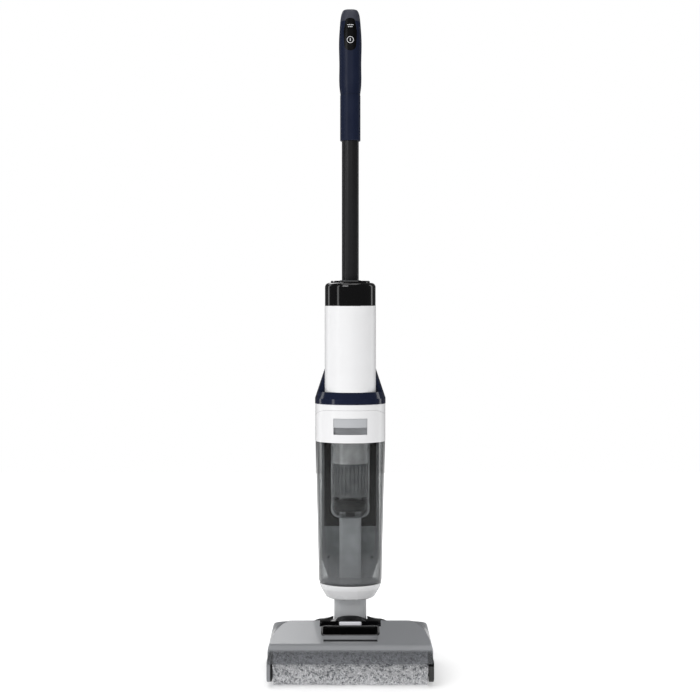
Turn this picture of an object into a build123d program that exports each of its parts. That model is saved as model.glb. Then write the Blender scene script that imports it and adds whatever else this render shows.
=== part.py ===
"""Upright wet and dry floor scrubber, modelled as separate pieces that go together as on the bench.

Units are millimetres.  +Z is up, the roller faces -Y, and the user stands on the +Y side.
The origin is on the floor, under the middle of the floor head.
"""

from build123d import *
import os
from math import acos, atan2, cos, degrees, hypot, radians, sin

os.makedirs("parts", exist_ok=True)

# ---------------------------------------------------------------- clearances and walls
SEAT = 0.3          # gap between pieces that rest on or face each other
RUN = 0.06          # radial gap of a shaft that turns in its bore
FIT = 0.03          # radial gap of a pin held in its hole
WALL = 2.5          # moulded wall

# ---------------------------------------------------------------- floor head
HEAD_WIDTH = 267.0
HEAD_DEPTH = 226.0
FRONT_Y = -HEAD_DEPTH / 2
BACK_Y = HEAD_DEPTH / 2
BASE_Z = 6.0        # underside of the chassis plate above the floor
BASE_T = 3.0
TRAY_TOP = 43.5     # rim of the chassis tray
CHEEK_Z0 = 9.0
CHEEK_LENGTH = 131.0
CHEEK_T = 8.2       # whole side plate, cheek and belt space together
PLATE_T = 2.5       # bearing plate of each cheek

ROLLER_R = 29.0     # over the pile
PILE_T = 8.0        # depth of the pile on its core
CORE_R = ROLLER_R - PILE_T
CORE_WALL = 3.0
STUB_R = 5.0
ROLLER_SIDE_GAP = 1.5

COVER_LIP_Z = 40.0  # lower edge of the cover in front of the roller
COVER_LEDGE_Z = 59.0
COVER_TOP = 91.0
COVER_BACK = 99.0   # from the front face to the cover's rear edge
COVER_LIP_GAP = 1.6
COVER_SIDE_IN = 2.0  # cover sides stand this much inside the cheeks
BROW_IN = 18.0       # from the front face to the front edge of the cover's roof
BROW_DROP = 21.0     # the roof falls this much from its rear edge to there
CROWN_X = 39.0      # elliptical shoulder at each end of the head
CROWN_Z = COVER_TOP - COVER_LEDGE_Z
DECK_STEP = 22.0    # the rear shell drops this much under the cover

POCKET_X = 47.0
POCKET_Y = 36.0
POCKET_DEPTH = 20.0
POCKET_FRONT = 43.0  # from the front face to the pocket
PULL_BAR_Y = 18.0
NOTCH_X = 50.0      # half width of the cover's notch behind the pocket

HUMP_X = 62.0       # half width of the hump across the head
HUMP_R = 50.0       # and along it
HUMP_TOP = 92.5
HUMP_TOP_R = 21.0
HUMP_RISE = 13.5    # from the foot of its flare to its top
PILL_X = 18.2
PILL_Y = 6.4
PILL_Z = 27.5

# ---------------------------------------------------------------- rear wheels
WHEEL_R = 23.0
WHEEL_W = 28.0
WHEEL_X = 88.0
TYRE_T = 3.0
AXLE_R = 3.0
BRACKET_T = 3.5

# ---------------------------------------------------------------- brush drive
PULLEY_R = 11.0
PINION_R = PULLEY_R / 2
BELT_SPACE = 1.0    # free room round the belt
BELT_W = 2.6
BELT_T = 1.2
MOTOR_R = 16.0
MOTOR_LEN = 58.0
MOTOR_Y = 5.0
MOTOR_Z = 28.0
SHAFT_R = 3.0

# ---------------------------------------------------------------- neck
PIVOT_Y = BACK_Y - 68.0
PIVOT_Z = 42.0
NECK_W = 54.0
NECK_D = 40.0
BARREL_R = NECK_D / 2 + 1.0
NECK_SIDE_GAP = 1.3
PIN_R = 5.0
CHANNEL_X = NECK_W / 2 - 12.0
SPIGOT_R = CHANNEL_X + 6.0
SPIGOT_H = 18.0
BEARING_T = 9.0
DUCT_X = 22.0
DUCT_Z0 = 12.0
DUCT_H = 26.0
DUCT_WALL = 2.0
MOUTH_Z0 = 17.0
MOUTH_H = 13.0

# ---------------------------------------------------------------- upright body
BODY_Y = PIVOT_Y - 8.0
CUP_Z0 = 121.0
CUP_H = 25.0
CUP_R = 51.5
CUP_FLOOR = 5.0
DECK_Z = CUP_Z0 + CUP_H
TANK_H = 236.7
TANK_Z0 = DECK_Z + SEAT
TANK_TOP = TANK_Z0 + TANK_H
TANK_R0 = CUP_R + 1.0
TANK_R1 = TANK_R0 + 5.5
TANK_BACK = 33.0    # flat rear wall of the tank, behind the body axis
BAND_R = TANK_R1 + 0.5
BAND_TOP = TANK_TOP + 63.0
ARCH_DROP = 9.5     # top of the arched seam below the band's top
SPINE_FACE = TANK_BACK + 1.8
SPINE_R = BAND_R + 1.5
SPINE_SLIM = SPINE_FACE + 11.2   # depth of the spine behind the clean water tank

SLEEVE_FWD = 12.0   # the front housing stands this much ahead of the body axis
SLEEVE_Y = BODY_Y - SLEEVE_FWD
SLEEVE_R = 42.5
SLEEVE_Z0 = BAND_TOP + 20.0
SLEEVE_TOP = SLEEVE_Z0 + 142.0
SHROUD_LIP = 9.0
SHROUD_TOP = BAND_TOP + 57.0
SHROUD_TOP_R = SLEEVE_R + 0.5
SHROUD_BACK = 10.0
CAP_R = SLEEVE_R - 0.5
CAP_H = 38.0
CAP_ROUND = 7.0
CAP_TOP = SLEEVE_TOP + SEAT + CAP_H
LENS_R = CAP_R - 9.5
LENS_H = 3.4

# ---------------------------------------------------------------- dirty water tank
WINDOW_X = 27.8
WINDOW_Z0 = TANK_TOP + 14.0
WINDOW_Z1 = TANK_TOP + 40.5
LATCH_H = 14.5
LATCH_GAP = 0.4
POCKET_IN = 15.0
STEM_R = 2.0         # guide stems behind the latch plate
STEM_X = 17.0
CAGE_R = 32.0
CAGE_WALL = 1.5
CAGE_Z0 = TANK_TOP - 126.0
CAGE_Y = BODY_Y - 17.5
COLLAR_R = CAGE_R - 2.5
COLLAR_H = 35.5
FILTER_R = CAGE_R - 5.2
FILTER_H = 55.0
FLOAT_H = 16.0
FLOAT_RISE = 7.0
PIPE_X = 37.0
PIPE_Y = 12.6
PIPE_WALL = 1.6
PIPE_TOP_GAP = 12.0
PANEL_Z0 = TANK_Z0 + 89.0

# ---------------------------------------------------------------- clean water tank
CLEAN_X = 39.5
CLEAN_BACK = SPINE_SLIM + 26.0
CLEAN_Z0 = 300.0
CLEAN_TOP = SLEEVE_TOP - 2.0
CLEAN_FRONT = SLEEVE_R - SLEEVE_FWD + 1.0
FILL_R = 13.0
VALVE_R = 6.0
VALVE_Z = CLEAN_Z0 + 15.0

# ---------------------------------------------------------------- suction unit and battery
FAN_CASE_R = SLEEVE_R - 7.5
FAN_CASE_Z0 = BAND_TOP + SEAT
FAN_CASE_H = 56.0
FAN_R = FAN_CASE_R - 6.0
FAN_H = 12.0
FAN_EYE_R = 13.0
STATOR_R = FAN_CASE_R - 11.0
BATTERY_X = 1.54 * FAN_CASE_R
BATTERY_Y = 1.43 * FAN_CASE_R
BATTERY_H = 68.0

# ---------------------------------------------------------------- handle
TUBE_X = 28.0
TUBE_Y = 30.0
TUBE_ROUND = 11.0
TUBE_WALL = 1.6
SOCKET_WALL = 3.0
SOCKET_DEPTH = 62.0
TOTAL_HEIGHT = 1100.0
GRIP_RISE = 145.0   # height of the leaning grip above the bend
COLLAR_DROP = 74.0  # the grip's collar reaches this far down the tube
BEND_Z = TOTAL_HEIGHT - GRIP_RISE
COLLAR_Z0 = BEND_Z - COLLAR_DROP
COLLAR_X = 33.5
COLLAR_Y = 36.0
COLLAR_ROUND = 13.5
GRIP_LEAN = 9.0     # the grip leans back from the tube by this angle
BEZEL_Z0 = 82.0     # along the grip from the bend
BEZEL_Z1 = 117.0
BEZEL_R0 = 9.6
BEZEL_R1 = 11.6
BEZEL_T = 1.8
POWER_Z = 90.5
POWER_R = 6.6
MODE_Z = 114.5
MODE_X = 15.0
MODE_H = 9.6
GRIP_CAP_Z = 124.0

# ---------------------------------------------------------------- derived places
CHEEK_OUT = HEAD_WIDTH / 2
CHEEK_IN = CHEEK_OUT - CHEEK_T
COVER_X = CHEEK_OUT - COVER_SIDE_IN
ROLLER_Y = FRONT_Y + WALL + COVER_LIP_GAP + ROLLER_R
ROLLER_Z = ROLLER_R
ROLLER_HALF = CHEEK_IN - ROLLER_SIDE_GAP
CHEEK_Y0 = FRONT_Y + WALL + 0.7
CHEEK_Y1 = CHEEK_Y0 + CHEEK_LENGTH
COVER_Y1 = FRONT_Y + COVER_BACK
ROOF_SLOPE = BROW_DROP / (COVER_BACK - BROW_IN)
ROOF_PITCH = degrees(atan2(BROW_DROP, COVER_BACK - BROW_IN))
BAY_Y = ROLLER_Y + ROLLER_R + 3.0          # front wall of the chassis tray
NECK_SLOT = NECK_W / 2 + NECK_SIDE_GAP
NECK_TOP = CUP_Z0 - SEAT
WHEEL_Y = BACK_Y - WHEEL_R - 1.5
BELT_X0 = CHEEK_IN + PLATE_T + 0.8
PINION_DY = MOTOR_Y - ROLLER_Y
PINION_DZ = MOTOR_Z - ROLLER_Z
ARCH_TOP = BAND_TOP - ARCH_DROP
SOCKET_Z0 = CAP_TOP + LENS_H + 1 - SOCKET_DEPTH
GRIP_LEN = (TOTAL_HEIGHT - BEND_Z - 1.6) / cos(radians(GRIP_LEAN))
PIPE_C = BODY_Y + TANK_BACK - WALL - SEAT - PIPE_Y / 2
FILTER_Z0 = TANK_TOP - COLLAR_H - FILTER_H - SEAT
STEM_Z = WINDOW_Z1 - LATCH_GAP - LATCH_H / 2
FLOAT_Z0 = FILTER_Z0 - FLOAT_RISE - 1.0 - FLOAT_H


# ---------------------------------------------------------------- small helpers
def block(x0, x1, y0, y1, z0, z1):
    """Box between two corners."""
    return Pos((x0 + x1) / 2, (y0 + y1) / 2, (z0 + z1) / 2) * Box(x1 - x0, y1 - y0, z1 - z0)


def rod_x(x0, x1, y, z, r):
    return Pos((x0 + x1) / 2, y, z) * Rot(0, 90, 0) * Cylinder(r, x1 - x0)


def rod_y(y0, y1, x, z, r):
    return Pos(x, (y0 + y1) / 2, z) * Rot(90, 0, 0) * Cylinder(r, y1 - y0)


def rod_z(z0, z1, x, y, r):
    return Pos(x, y, (z0 + z1) / 2) * Cylinder(r, z1 - z0)


def prism_x(face, x0, x1):
    """Face drawn in (y, z), extruded from x0 to x1."""
    return Pos(x0, 0, 0) * extrude(Plane.YZ * face, x1 - x0)


def prism_y(face, y0, y1):
    """Face drawn in (x, z), extruded from y0 to y1."""
    return Pos(0, y1, 0) * extrude(Plane.XZ * face, y1 - y0)


def spun(points, y=0.0):
    """Closed outline in (radius, z), turned about the vertical axis at y."""
    outline = Plane.XZ * make_face(Polyline(*points, close=True))
    return Pos(0, y, 0) * revolve(outline, Axis.Z)


def tube_face(grow=0.0):
    """Section of the handle tube, grown by a clearance or a wall."""
    return RectangleRounded(TUBE_X + 2 * grow, TUBE_Y + 2 * grow, TUBE_ROUND + grow)


def upright(face, z0, z1, y=0.0):
    """Face drawn in (x, y), extruded from z0 to z1."""
    return Pos(0, y, z0) * extrude(face, z1 - z0)


def oval_arc(x, y, rx, ry, start, sweep):
    """Part of an ellipse about (x, y), from one angle through another."""
    return EllipticalCenterArc((x, y), rx, ry, start_angle=start, arc_size=sweep)


def one_solid(shape):
    """The biggest solid, where a cut leaves crumbs."""
    return max(shape.solids(), key=lambda s: s.volume)


def mirrored(shape):
    return mirror(shape, about=Plane.YZ)


def both_sides(shape):
    return Compound(children=[*shape.solids(), *mirrored(shape).solids()])


# ---------------------------------------------------------------- head envelope
def crown_face(inset):
    """Front outline of the head: straight sides with elliptical shoulders."""
    half = COVER_X - inset
    top = COVER_TOP - inset
    rx, rz = CROWN_X - inset, CROWN_Z - inset
    cx, cz = half - rx, top - rz
    right = oval_arc(cx, cz, rx, rz, 0, 90)
    left = oval_arc(-cx, cz, rx, rz, 90, 90)
    sides = Polyline((-half, cz), (-half, 0), (half, 0), (half, cz))
    return make_face([right, Line((cx, top), (-cx, top)), left, sides])


def cover_side(inset):
    """Side outline of the roller cover, in (y, z); an inset one is open below and behind."""
    front = FRONT_Y + inset
    ledge = front + 4.0
    back = COVER_Y1 + (20.0 if inset else 0.0)
    top = COVER_TOP - inset
    low = COVER_LIP_Z - (30.0 if inset else 0.0)
    ledge_z = COVER_LEDGE_Z - inset
    brow = (front + BROW_IN, top - BROW_DROP)
    rear = (back, brow[1] + ROOF_SLOPE * (back - brow[0]))
    arc = ThreePointArc((ledge, ledge_z + 2.0), (front + 10.1, top - BROW_DROP - 3.15), brow)
    lines = Polyline(brow, rear, (back, low), (front, low), (front, ledge_z), (ledge, ledge_z + 2.0))
    return make_face([arc, lines])


def roof_z(y):
    """Height of the cover's sloping roof at a depth."""
    return COVER_TOP - ROOF_SLOPE * (COVER_Y1 - y)


def head_block(face, inset):
    """Side outline swept across the head and cut to the crowned front outline."""
    swept = prism_x(face, -HEAD_WIDTH / 2, HEAD_WIDTH / 2)
    crown = prism_y(crown_face(inset), FRONT_Y - 5, BACK_Y + 5)
    return swept & crown


# ---------------------------------------------------------------- chassis
def tray_solid(inset):
    """Chassis tray outline: between the cheeks in front, full width behind them."""
    z0 = BASE_Z + (BASE_T if inset else 0.0)
    z1 = TRAY_TOP + (5.0 if inset else 0.0)
    slim = CHEEK_IN - SEAT - inset
    wide = COVER_X - inset
    front = block(-slim, slim, BAY_Y + inset, BACK_Y - 3 - inset, z0, z1)
    rear = block(-wide, wide, CHEEK_Y1 + SEAT + inset, BACK_Y - 3 - inset, z0, z1)
    return front + rear


def screw_places():
    return [(x, y) for x in (-48.0, 48.0) for y in (BAY_Y + 16.0, BACK_Y - 22.0)]


def head_base():
    tray = tray_solid(0) - tray_solid(WALL)
    boss_x = NECK_SLOT + WALL + SEAT
    boss = block(boss_x, boss_x + BEARING_T, PIVOT_Y - 13, PIVOT_Y + 13, BASE_Z + BASE_T, PIVOT_Z + 12)
    for side in (boss, mirrored(boss)):
        tray += side
    tray -= rod_x(-boss_x - BEARING_T - 1, boss_x + BEARING_T + 1, PIVOT_Y, PIVOT_Z, PIN_R + FIT)
    # saddles under the brush motor
    motor_x1 = -CHEEK_IN + SEAT + WALL + 1 + MOTOR_LEN
    for x in (motor_x1 - 12, motor_x1 - MOTOR_LEN + 10):
        tray += block(x - 2, x + 2, MOTOR_Y - 12, MOTOR_Y + 12, BASE_Z + BASE_T, MOTOR_Z - 5)
    tray -= rod_x(motor_x1 - MOTOR_LEN - 0.5, motor_x1 + 0.5, MOTOR_Y, MOTOR_Z, MOTOR_R + SEAT)
    # openings: suction mouth, motor shaft, wheel wells
    inner = DUCT_X - DUCT_WALL
    tray -= block(-inner, inner, BAY_Y - 1, BAY_Y + WALL + 1, MOUTH_Z0, MOUTH_Z0 + MOUTH_H)
    tray -= rod_x(-CHEEK_IN - 1, -CHEEK_IN + 8, MOTOR_Y, MOTOR_Z, SHAFT_R + 1.5)
    gap = 2.0
    well = block(WHEEL_X - WHEEL_W / 2 - gap, WHEEL_X + WHEEL_W / 2 + gap,
                 WHEEL_Y - WHEEL_R - gap, BACK_Y + 1, BASE_Z - 1, TRAY_TOP + 1)
    bracket = block(WHEEL_X + WHEEL_W / 2 + gap, WHEEL_X + WHEEL_W / 2 + gap + BRACKET_T,
                    WHEEL_Y - 9, WHEEL_Y + 9, BASE_Z + BASE_T, WHEEL_R + 9)
    inward = Pos(-WHEEL_W - 2 * gap - BRACKET_T, 0, 0) * bracket
    for b in (bracket, inward, mirrored(bracket), mirrored(inward)):
        tray += b
    for w in (well, mirrored(well)):
        tray -= w
    # notch the neck drops into when it leans back
    tray -= block(-NECK_SLOT, NECK_SLOT, BACK_Y - 10, BACK_Y + 1, TRAY_TOP - 8, TRAY_TOP + 1)
    reach = WHEEL_X + WHEEL_W / 2 + gap + BRACKET_T + 1
    tray -= rod_x(-reach, reach, WHEEL_Y, WHEEL_R, AXLE_R + FIT)
    for x, y in screw_places():
        tray += rod_z(BASE_Z + BASE_T, BASE_Z + 16, x, y, 4)
        tray -= rod_z(BASE_Z - 1, BASE_Z + 2, x, y, 3.2)
        tray -= rod_z(BASE_Z, BASE_Z + 14, x, y, 1.5 + FIT)
    # wiper ribs that comb the roller, on the tray's front wall
    tray += block(-ROLLER_HALF + 4, ROLLER_HALF - 4, BAY_Y - 1.8, BAY_Y, ROLLER_Z + 2, ROLLER_Z + 5)
    return one_solid(tray)


def head_screws():
    """Four pan-head screws that hold the chassis to the upper shell."""
    made = []
    for x, y in screw_places():
        head = rod_z(BASE_Z + 0.2, BASE_Z + 2 - 0.05, x, y, 3)
        made += (head + rod_z(BASE_Z + 1, BASE_Z + 13.5, x, y, 1.5)).solids()
    return Compound(children=made)


def shell_side(inset):
    """Side outline of the rear shell, stepped down where the cover lies over it."""
    step_y = COVER_Y1 + SEAT
    low = TRAY_TOP + SEAT - (20.0 if inset else 0.0)
    top = COVER_TOP - 1.5 - inset
    deck = COVER_TOP - DECK_STEP - inset
    return make_face(Polyline(
        (BAY_Y + inset, low), (BAY_Y + inset, deck - 4), (step_y + inset, deck),
        (step_y + inset, top), (PIVOT_Y + 5, top - 15), (BACK_Y - 12, top - 34),
        (BACK_Y - inset, top - 40), (BACK_Y - inset, low), close=True))


def shell_block(inset):
    """Rear shell's outline: full width behind the cover, inside the cover's sides in front."""
    step_y = COVER_Y1 + SEAT + inset
    front = block(-HEAD_WIDTH, HEAD_WIDTH, FRONT_Y, step_y, 0, COVER_TOP)
    under = head_block(shell_side(inset), inset + WALL + SEAT) & front
    return under + (head_block(shell_side(inset), inset) - front)


def hump(inset):
    """Bell-shaped rise of the rear shell around the neck."""
    rim, top = HUMP_TOP_R - inset, HUMP_TOP - inset
    foot = (HUMP_R - inset, top - HUMP_RISE)
    crown = ThreePointArc((rim - 9, top), (rim - 4, top - 0.9), (rim, top - 2.9))
    flare = ThreePointArc((rim, top - 2.9), (rim + 9, top - 7.6), foot)
    rest = Polyline(foot, (foot[0], TRAY_TOP), (0, TRAY_TOP), (0, top), (rim - 9, top))
    bell = revolve(Plane.XZ * make_face([crown, flare, rest]), Axis.Z)
    wide = scale(bell, by=(HUMP_X / HUMP_R, 1, 1))
    return Pos(0, COVER_Y1 + SEAT + HUMP_R, 0) * wide


def neck_well(grow):
    """Slot in the rear shell that the neck stands in and leans back through."""
    half = NECK_SLOT + grow
    return block(-half, half, PIVOT_Y - BARREL_R - 2.5 - grow, BACK_Y + 2, BASE_Z + BASE_T + 2, HUMP_TOP + 5)


def head_top_shell():
    outer = shell_block(0) + hump(0)
    inner = shell_block(WALL) + hump(WALL)
    shell = outer - (inner - neck_well(WALL)) - neck_well(0)
    shell -= block(-HEAD_WIDTH, HEAD_WIDTH, FRONT_Y, BACK_Y, 0, TRAY_TOP + SEAT)
    shell -= rod_x(-NECK_SLOT - WALL - 1, NECK_SLOT + WALL + 1, PIVOT_Y, PIVOT_Z, PIN_R + 0.5)
    clear = DUCT_X + SEAT
    shell -= block(-clear, clear, BAY_Y - 1, PIVOT_Y, DUCT_Z0, DUCT_Z0 + DUCT_H + SEAT)
    # bearing blocks stand beside the well walls
    side = NECK_SLOT + WALL
    blocks = block(side, side + BEARING_T + 2 * SEAT, PIVOT_Y - 13 - SEAT, PIVOT_Y + 13 + SEAT,
                   TRAY_TOP - 5, PIVOT_Z + 12 + SEAT)
    shell = shell - blocks - mirrored(blocks)
    shell -= pill_solid(SEAT)
    return one_solid(shell)


# ---------------------------------------------------------------- cover release
def pill_solid(grow):
    """Rounded bar that stands in the deck, in the cover's notch in front of the hump."""
    y0 = FRONT_Y + POCKET_FRONT + POCKET_Y + 3.0 - grow
    face = RectangleRounded(2 * (PILL_X + grow), PILL_Y + 2 * grow, PILL_Y / 2 + grow - 0.02)
    z0 = COVER_TOP - PILL_Z - (2.6 if grow else 0)
    z1 = COVER_TOP + (4 if grow else 0)
    return upright(face, z0, z1, y0 + grow + PILL_Y / 2)


def cover_release():
    pill = pill_solid(0)
    return fillet(pill.faces().sort_by(Axis.Z)[-1].edges(), 1.2)


# ---------------------------------------------------------------- cheeks and belt drive
def cheek_face(inset):
    """Side plate outline in (y, z)."""
    length, height = CHEEK_LENGTH - 2 * inset, TRAY_TOP - CHEEK_Z0 - 2 * inset
    return Pos((CHEEK_Y0 + CHEEK_Y1) / 2, (TRAY_TOP + CHEEK_Z0) / 2) * RectangleRounded(length, height, 9 - inset)


def belt_face(grow):
    """Outline round both pulleys, grown by a thickness or clearance, in (y, z)."""
    reach = hypot(PINION_DY, PINION_DZ)
    r0, r1 = PULLEY_R + grow, PINION_R + grow
    turn = acos((r0 - r1) / reach)
    flat = Polygon((r0 * cos(turn), r0 * sin(turn)), (r0 * cos(turn), -r0 * sin(turn)),
                   (reach + r1 * cos(turn), -r1 * sin(turn)), (reach + r1 * cos(turn), r1 * sin(turn)),
                   align=None)
    loop = flat + Circle(r0) + Pos(reach, 0) * Circle(r1)
    tilt = degrees(acos(PINION_DY / reach))
    return Pos(ROLLER_Y, ROLLER_Z) * Rot(0, 0, tilt if PINION_DZ > 0 else -tilt) * loop


def cheek_left():
    """Inner plate that carries the roller's drive shaft and closes the belt space."""
    plate = prism_x(cheek_face(0.6), -CHEEK_IN - PLATE_T, -CHEEK_IN)
    plate -= rod_x(-CHEEK_OUT, -CHEEK_IN + 1, ROLLER_Y, ROLLER_Z, STUB_R + RUN)
    return plate - rod_x(-CHEEK_OUT, -CHEEK_IN + 1, MOTOR_Y, MOTOR_Z, SHAFT_R + 1.5)


def belt_cover():
    cover = prism_x(cheek_face(0), -CHEEK_OUT, -CHEEK_IN - PLATE_T)
    cover = fillet(cover.faces().sort_by(Axis.X)[0].edges(), 2.0)
    cavity = prism_x(belt_face(BELT_T + BELT_SPACE), -CHEEK_OUT + 1.4, -CHEEK_IN)
    return cover - cavity


def cheek_right():
    """Outer side plate with the seat of the roller's free end."""
    cheek = prism_x(cheek_face(0), CHEEK_IN, CHEEK_OUT)
    cheek = fillet(cheek.faces().sort_by(Axis.X)[-1].edges(), 2.0)
    return cheek - rod_x(CHEEK_IN - 1, CHEEK_IN + PLATE_T + 2.5, ROLLER_Y, ROLLER_Z, STUB_R + RUN)


def drive_belt():
    ring = belt_face(0.05 + BELT_T) - belt_face(0.05)
    return prism_x(ring, -BELT_X0 - BELT_W, -BELT_X0)


def drive_pulley():
    """Belt pulley with the shaft that plugs into the roller core."""
    wheel = rod_x(-BELT_X0 - BELT_W, -BELT_X0, ROLLER_Y, ROLLER_Z, PULLEY_R)
    shaft = rod_x(-BELT_X0, -ROLLER_HALF + 7, ROLLER_Y, ROLLER_Z, STUB_R)
    return wheel + shaft


def motor_pulley():
    wheel = rod_x(-BELT_X0 - BELT_W, -BELT_X0, MOTOR_Y, MOTOR_Z, PINION_R)
    return wheel + rod_x(-BELT_X0, -CHEEK_IN + 14, MOTOR_Y, MOTOR_Z, SHAFT_R)


def brush_motor():
    x0 = -CHEEK_IN + SEAT + WALL + 1
    can = rod_x(x0, x0 + MOTOR_LEN, MOTOR_Y, MOTOR_Z, MOTOR_R)
    can = chamfer(can.edges().filter_by(GeomType.CIRCLE), 1.2)
    can += rod_x(x0 + MOTOR_LEN, x0 + MOTOR_LEN + 6, MOTOR_Y, MOTOR_Z, 6)
    return can - rod_x(x0 - 1, -CHEEK_IN + 14.6, MOTOR_Y, MOTOR_Z, SHAFT_R + RUN)


# ---------------------------------------------------------------- roller
def roller_core():
    core = rod_x(-ROLLER_HALF, ROLLER_HALF, ROLLER_Y, ROLLER_Z, CORE_R)
    core -= rod_x(-ROLLER_HALF + 8, ROLLER_HALF - 4, ROLLER_Y, ROLLER_Z, CORE_R - CORE_WALL)
    core -= rod_x(-ROLLER_HALF - 1, -ROLLER_HALF + 8, ROLLER_Y, ROLLER_Z, STUB_R + FIT)
    return core + rod_x(ROLLER_HALF - 1, CHEEK_IN + PLATE_T + 2, ROLLER_Y, ROLLER_Z, STUB_R)


def roller_pile():
    pile = rod_x(-ROLLER_HALF, ROLLER_HALF, ROLLER_Y, ROLLER_Z, ROLLER_R)
    pile = chamfer(pile.edges().filter_by(GeomType.CIRCLE), 1.0)
    return pile - rod_x(-ROLLER_HALF - 1, ROLLER_HALF + 1, ROLLER_Y, ROLLER_Z, CORE_R + FIT)


def squeegee_blade():
    """Rubber lip behind the roller, a hair above the floor, with a bead that hooks on the chassis."""
    half = CHEEK_IN - 6
    y0 = BAY_Y - 1.6
    blade = block(-half, half, y0, y0 + 1.4, 0.8, BASE_Z + 9)
    return blade + block(-half, half, BAY_Y - 2.6, BAY_Y - 0.2, BASE_Z + 6, BASE_Z + 9)


def spray_bar():
    """Water rail along the back of the roller bay, with a row of nozzles."""
    z = COVER_TOP - DECK_STEP - 12.0
    y = BAY_Y - 3.3
    rail = rod_x(-ROLLER_HALF + 6, ROLLER_HALF - 6, y, z, 3)
    for step in range(9):
        x = (step - 4) * 26.0
        rail += rod_y(y - 4.0, y, x, z, 1.3)
    return rail


def suction_duct():
    """Flat duct from the suction mouth to the neck barrel."""
    y0 = BAY_Y + WALL + SEAT
    y1 = PIVOT_Y - BARREL_R - 0.8
    z0, z1 = BASE_Z + BASE_T + SEAT, DUCT_Z0 + DUCT_H
    duct = block(-DUCT_X, DUCT_X, y0, y1, z0, z1)
    inner = DUCT_X - DUCT_WALL
    duct -= block(-inner, inner, y0 + DUCT_WALL, y1 + 1, z0 + DUCT_WALL, z1 - DUCT_WALL)
    return duct - block(-inner, inner, y0 - 1, y0 + DUCT_WALL + 1, MOUTH_Z0, MOUTH_Z0 + MOUTH_H)


# ---------------------------------------------------------------- wheels
def wheel_hub():
    """Hub on the +X side, dished on both faces."""
    x0, x1 = WHEEL_X - WHEEL_W / 2, WHEEL_X + WHEEL_W / 2
    rim = WHEEL_R - TYRE_T
    hub = rod_x(x0, x1, WHEEL_Y, WHEEL_R, rim)
    for a, b in ((x0 - 1, x0 + 4), (x1 - 4, x1 + 1)):
        hub -= rod_x(a, b, WHEEL_Y, WHEEL_R, rim - 2.5) - rod_x(a, b, WHEEL_Y, WHEEL_R, AXLE_R + 3)
    return hub - rod_x(x0 - 1, x1 + 1, WHEEL_Y, WHEEL_R, AXLE_R + RUN)


def tyre():
    x0, x1 = WHEEL_X - WHEEL_W / 2, WHEEL_X + WHEEL_W / 2
    ring = rod_x(x0 + 1, x1 - 1, WHEEL_Y, WHEEL_R, WHEEL_R)
    ring = fillet(ring.edges().filter_by(GeomType.CIRCLE), 1.5)
    return ring - rod_x(x0 - 1, x1 + 1, WHEEL_Y, WHEEL_R, WHEEL_R - TYRE_T + FIT)


def wheel_axles():
    reach = WHEEL_W / 2 + 2.0 + BRACKET_T
    return both_sides(rod_x(WHEEL_X - reach, WHEEL_X + reach, WHEEL_Y, WHEEL_R, AXLE_R))


# ---------------------------------------------------------------- roller cover
def pocket_box(grow, z0, z1):
    y0 = FRONT_Y + POCKET_FRONT - grow
    face = RectangleRounded(2 * (POCKET_X + grow), POCKET_Y + 2 * grow, 7 + grow)
    return upright(face, z0, z1, y0 + grow + POCKET_Y / 2)


def roller_cover():
    cover = head_block(cover_side(0), 0) - head_block(cover_side(WALL), WALL)
    # sides stop above the cheeks
    cover -= block(-HEAD_WIDTH, HEAD_WIDTH, CHEEK_Y0 - 0.4, BACK_Y, 0, TRAY_TOP + SEAT)
    # opening for the finger pocket, and the notch behind it that the release bar stands in
    floor_z = COVER_TOP - POCKET_DEPTH - 8
    cover -= pocket_box(SEAT, floor_z, COVER_TOP + 4)
    notch_y = FRONT_Y + POCKET_FRONT + POCKET_Y - WALL
    cover -= block(-NOTCH_X, NOTCH_X, notch_y, COVER_Y1 + 1, floor_z, COVER_TOP + 4)
    # raised pull bar, and the groove in front of it
    bar_y = FRONT_Y + POCKET_FRONT - PULL_BAR_Y / 2
    groove_y = bar_y - PULL_BAR_Y / 2
    long = 2 * POCKET_X - 8
    cover -= Pos(0, groove_y, roof_z(groove_y)) * Rot(ROOF_PITCH, 0, 0) * Box(long, 3, 3)
    bar = Pos(0, bar_y, roof_z(bar_y) - 0.4) * Rot(ROOF_PITCH, 0, 0) * Box(long, PULL_BAR_Y - 3, 5)
    cover += fillet(bar.edges().filter_by(Axis.X), 1.5)
    return one_solid(cover)


def cover_grip_pocket():
    """Tub let into the cover, for the fingers that lift it."""
    z0 = COVER_TOP - POCKET_DEPTH - WALL
    top = COVER_TOP - 0.6
    tub = pocket_box(0, z0, top) - pocket_box(-WALL, z0 + WALL, top + 2)
    rim_y = FRONT_Y + POCKET_FRONT
    slope = Pos(0, rim_y, roof_z(rim_y) + 6) * Rot(ROOF_PITCH, 0, 0) * Box(2 * POCKET_X + 20, 160, 10)
    return one_solid(tub - slope)


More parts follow.
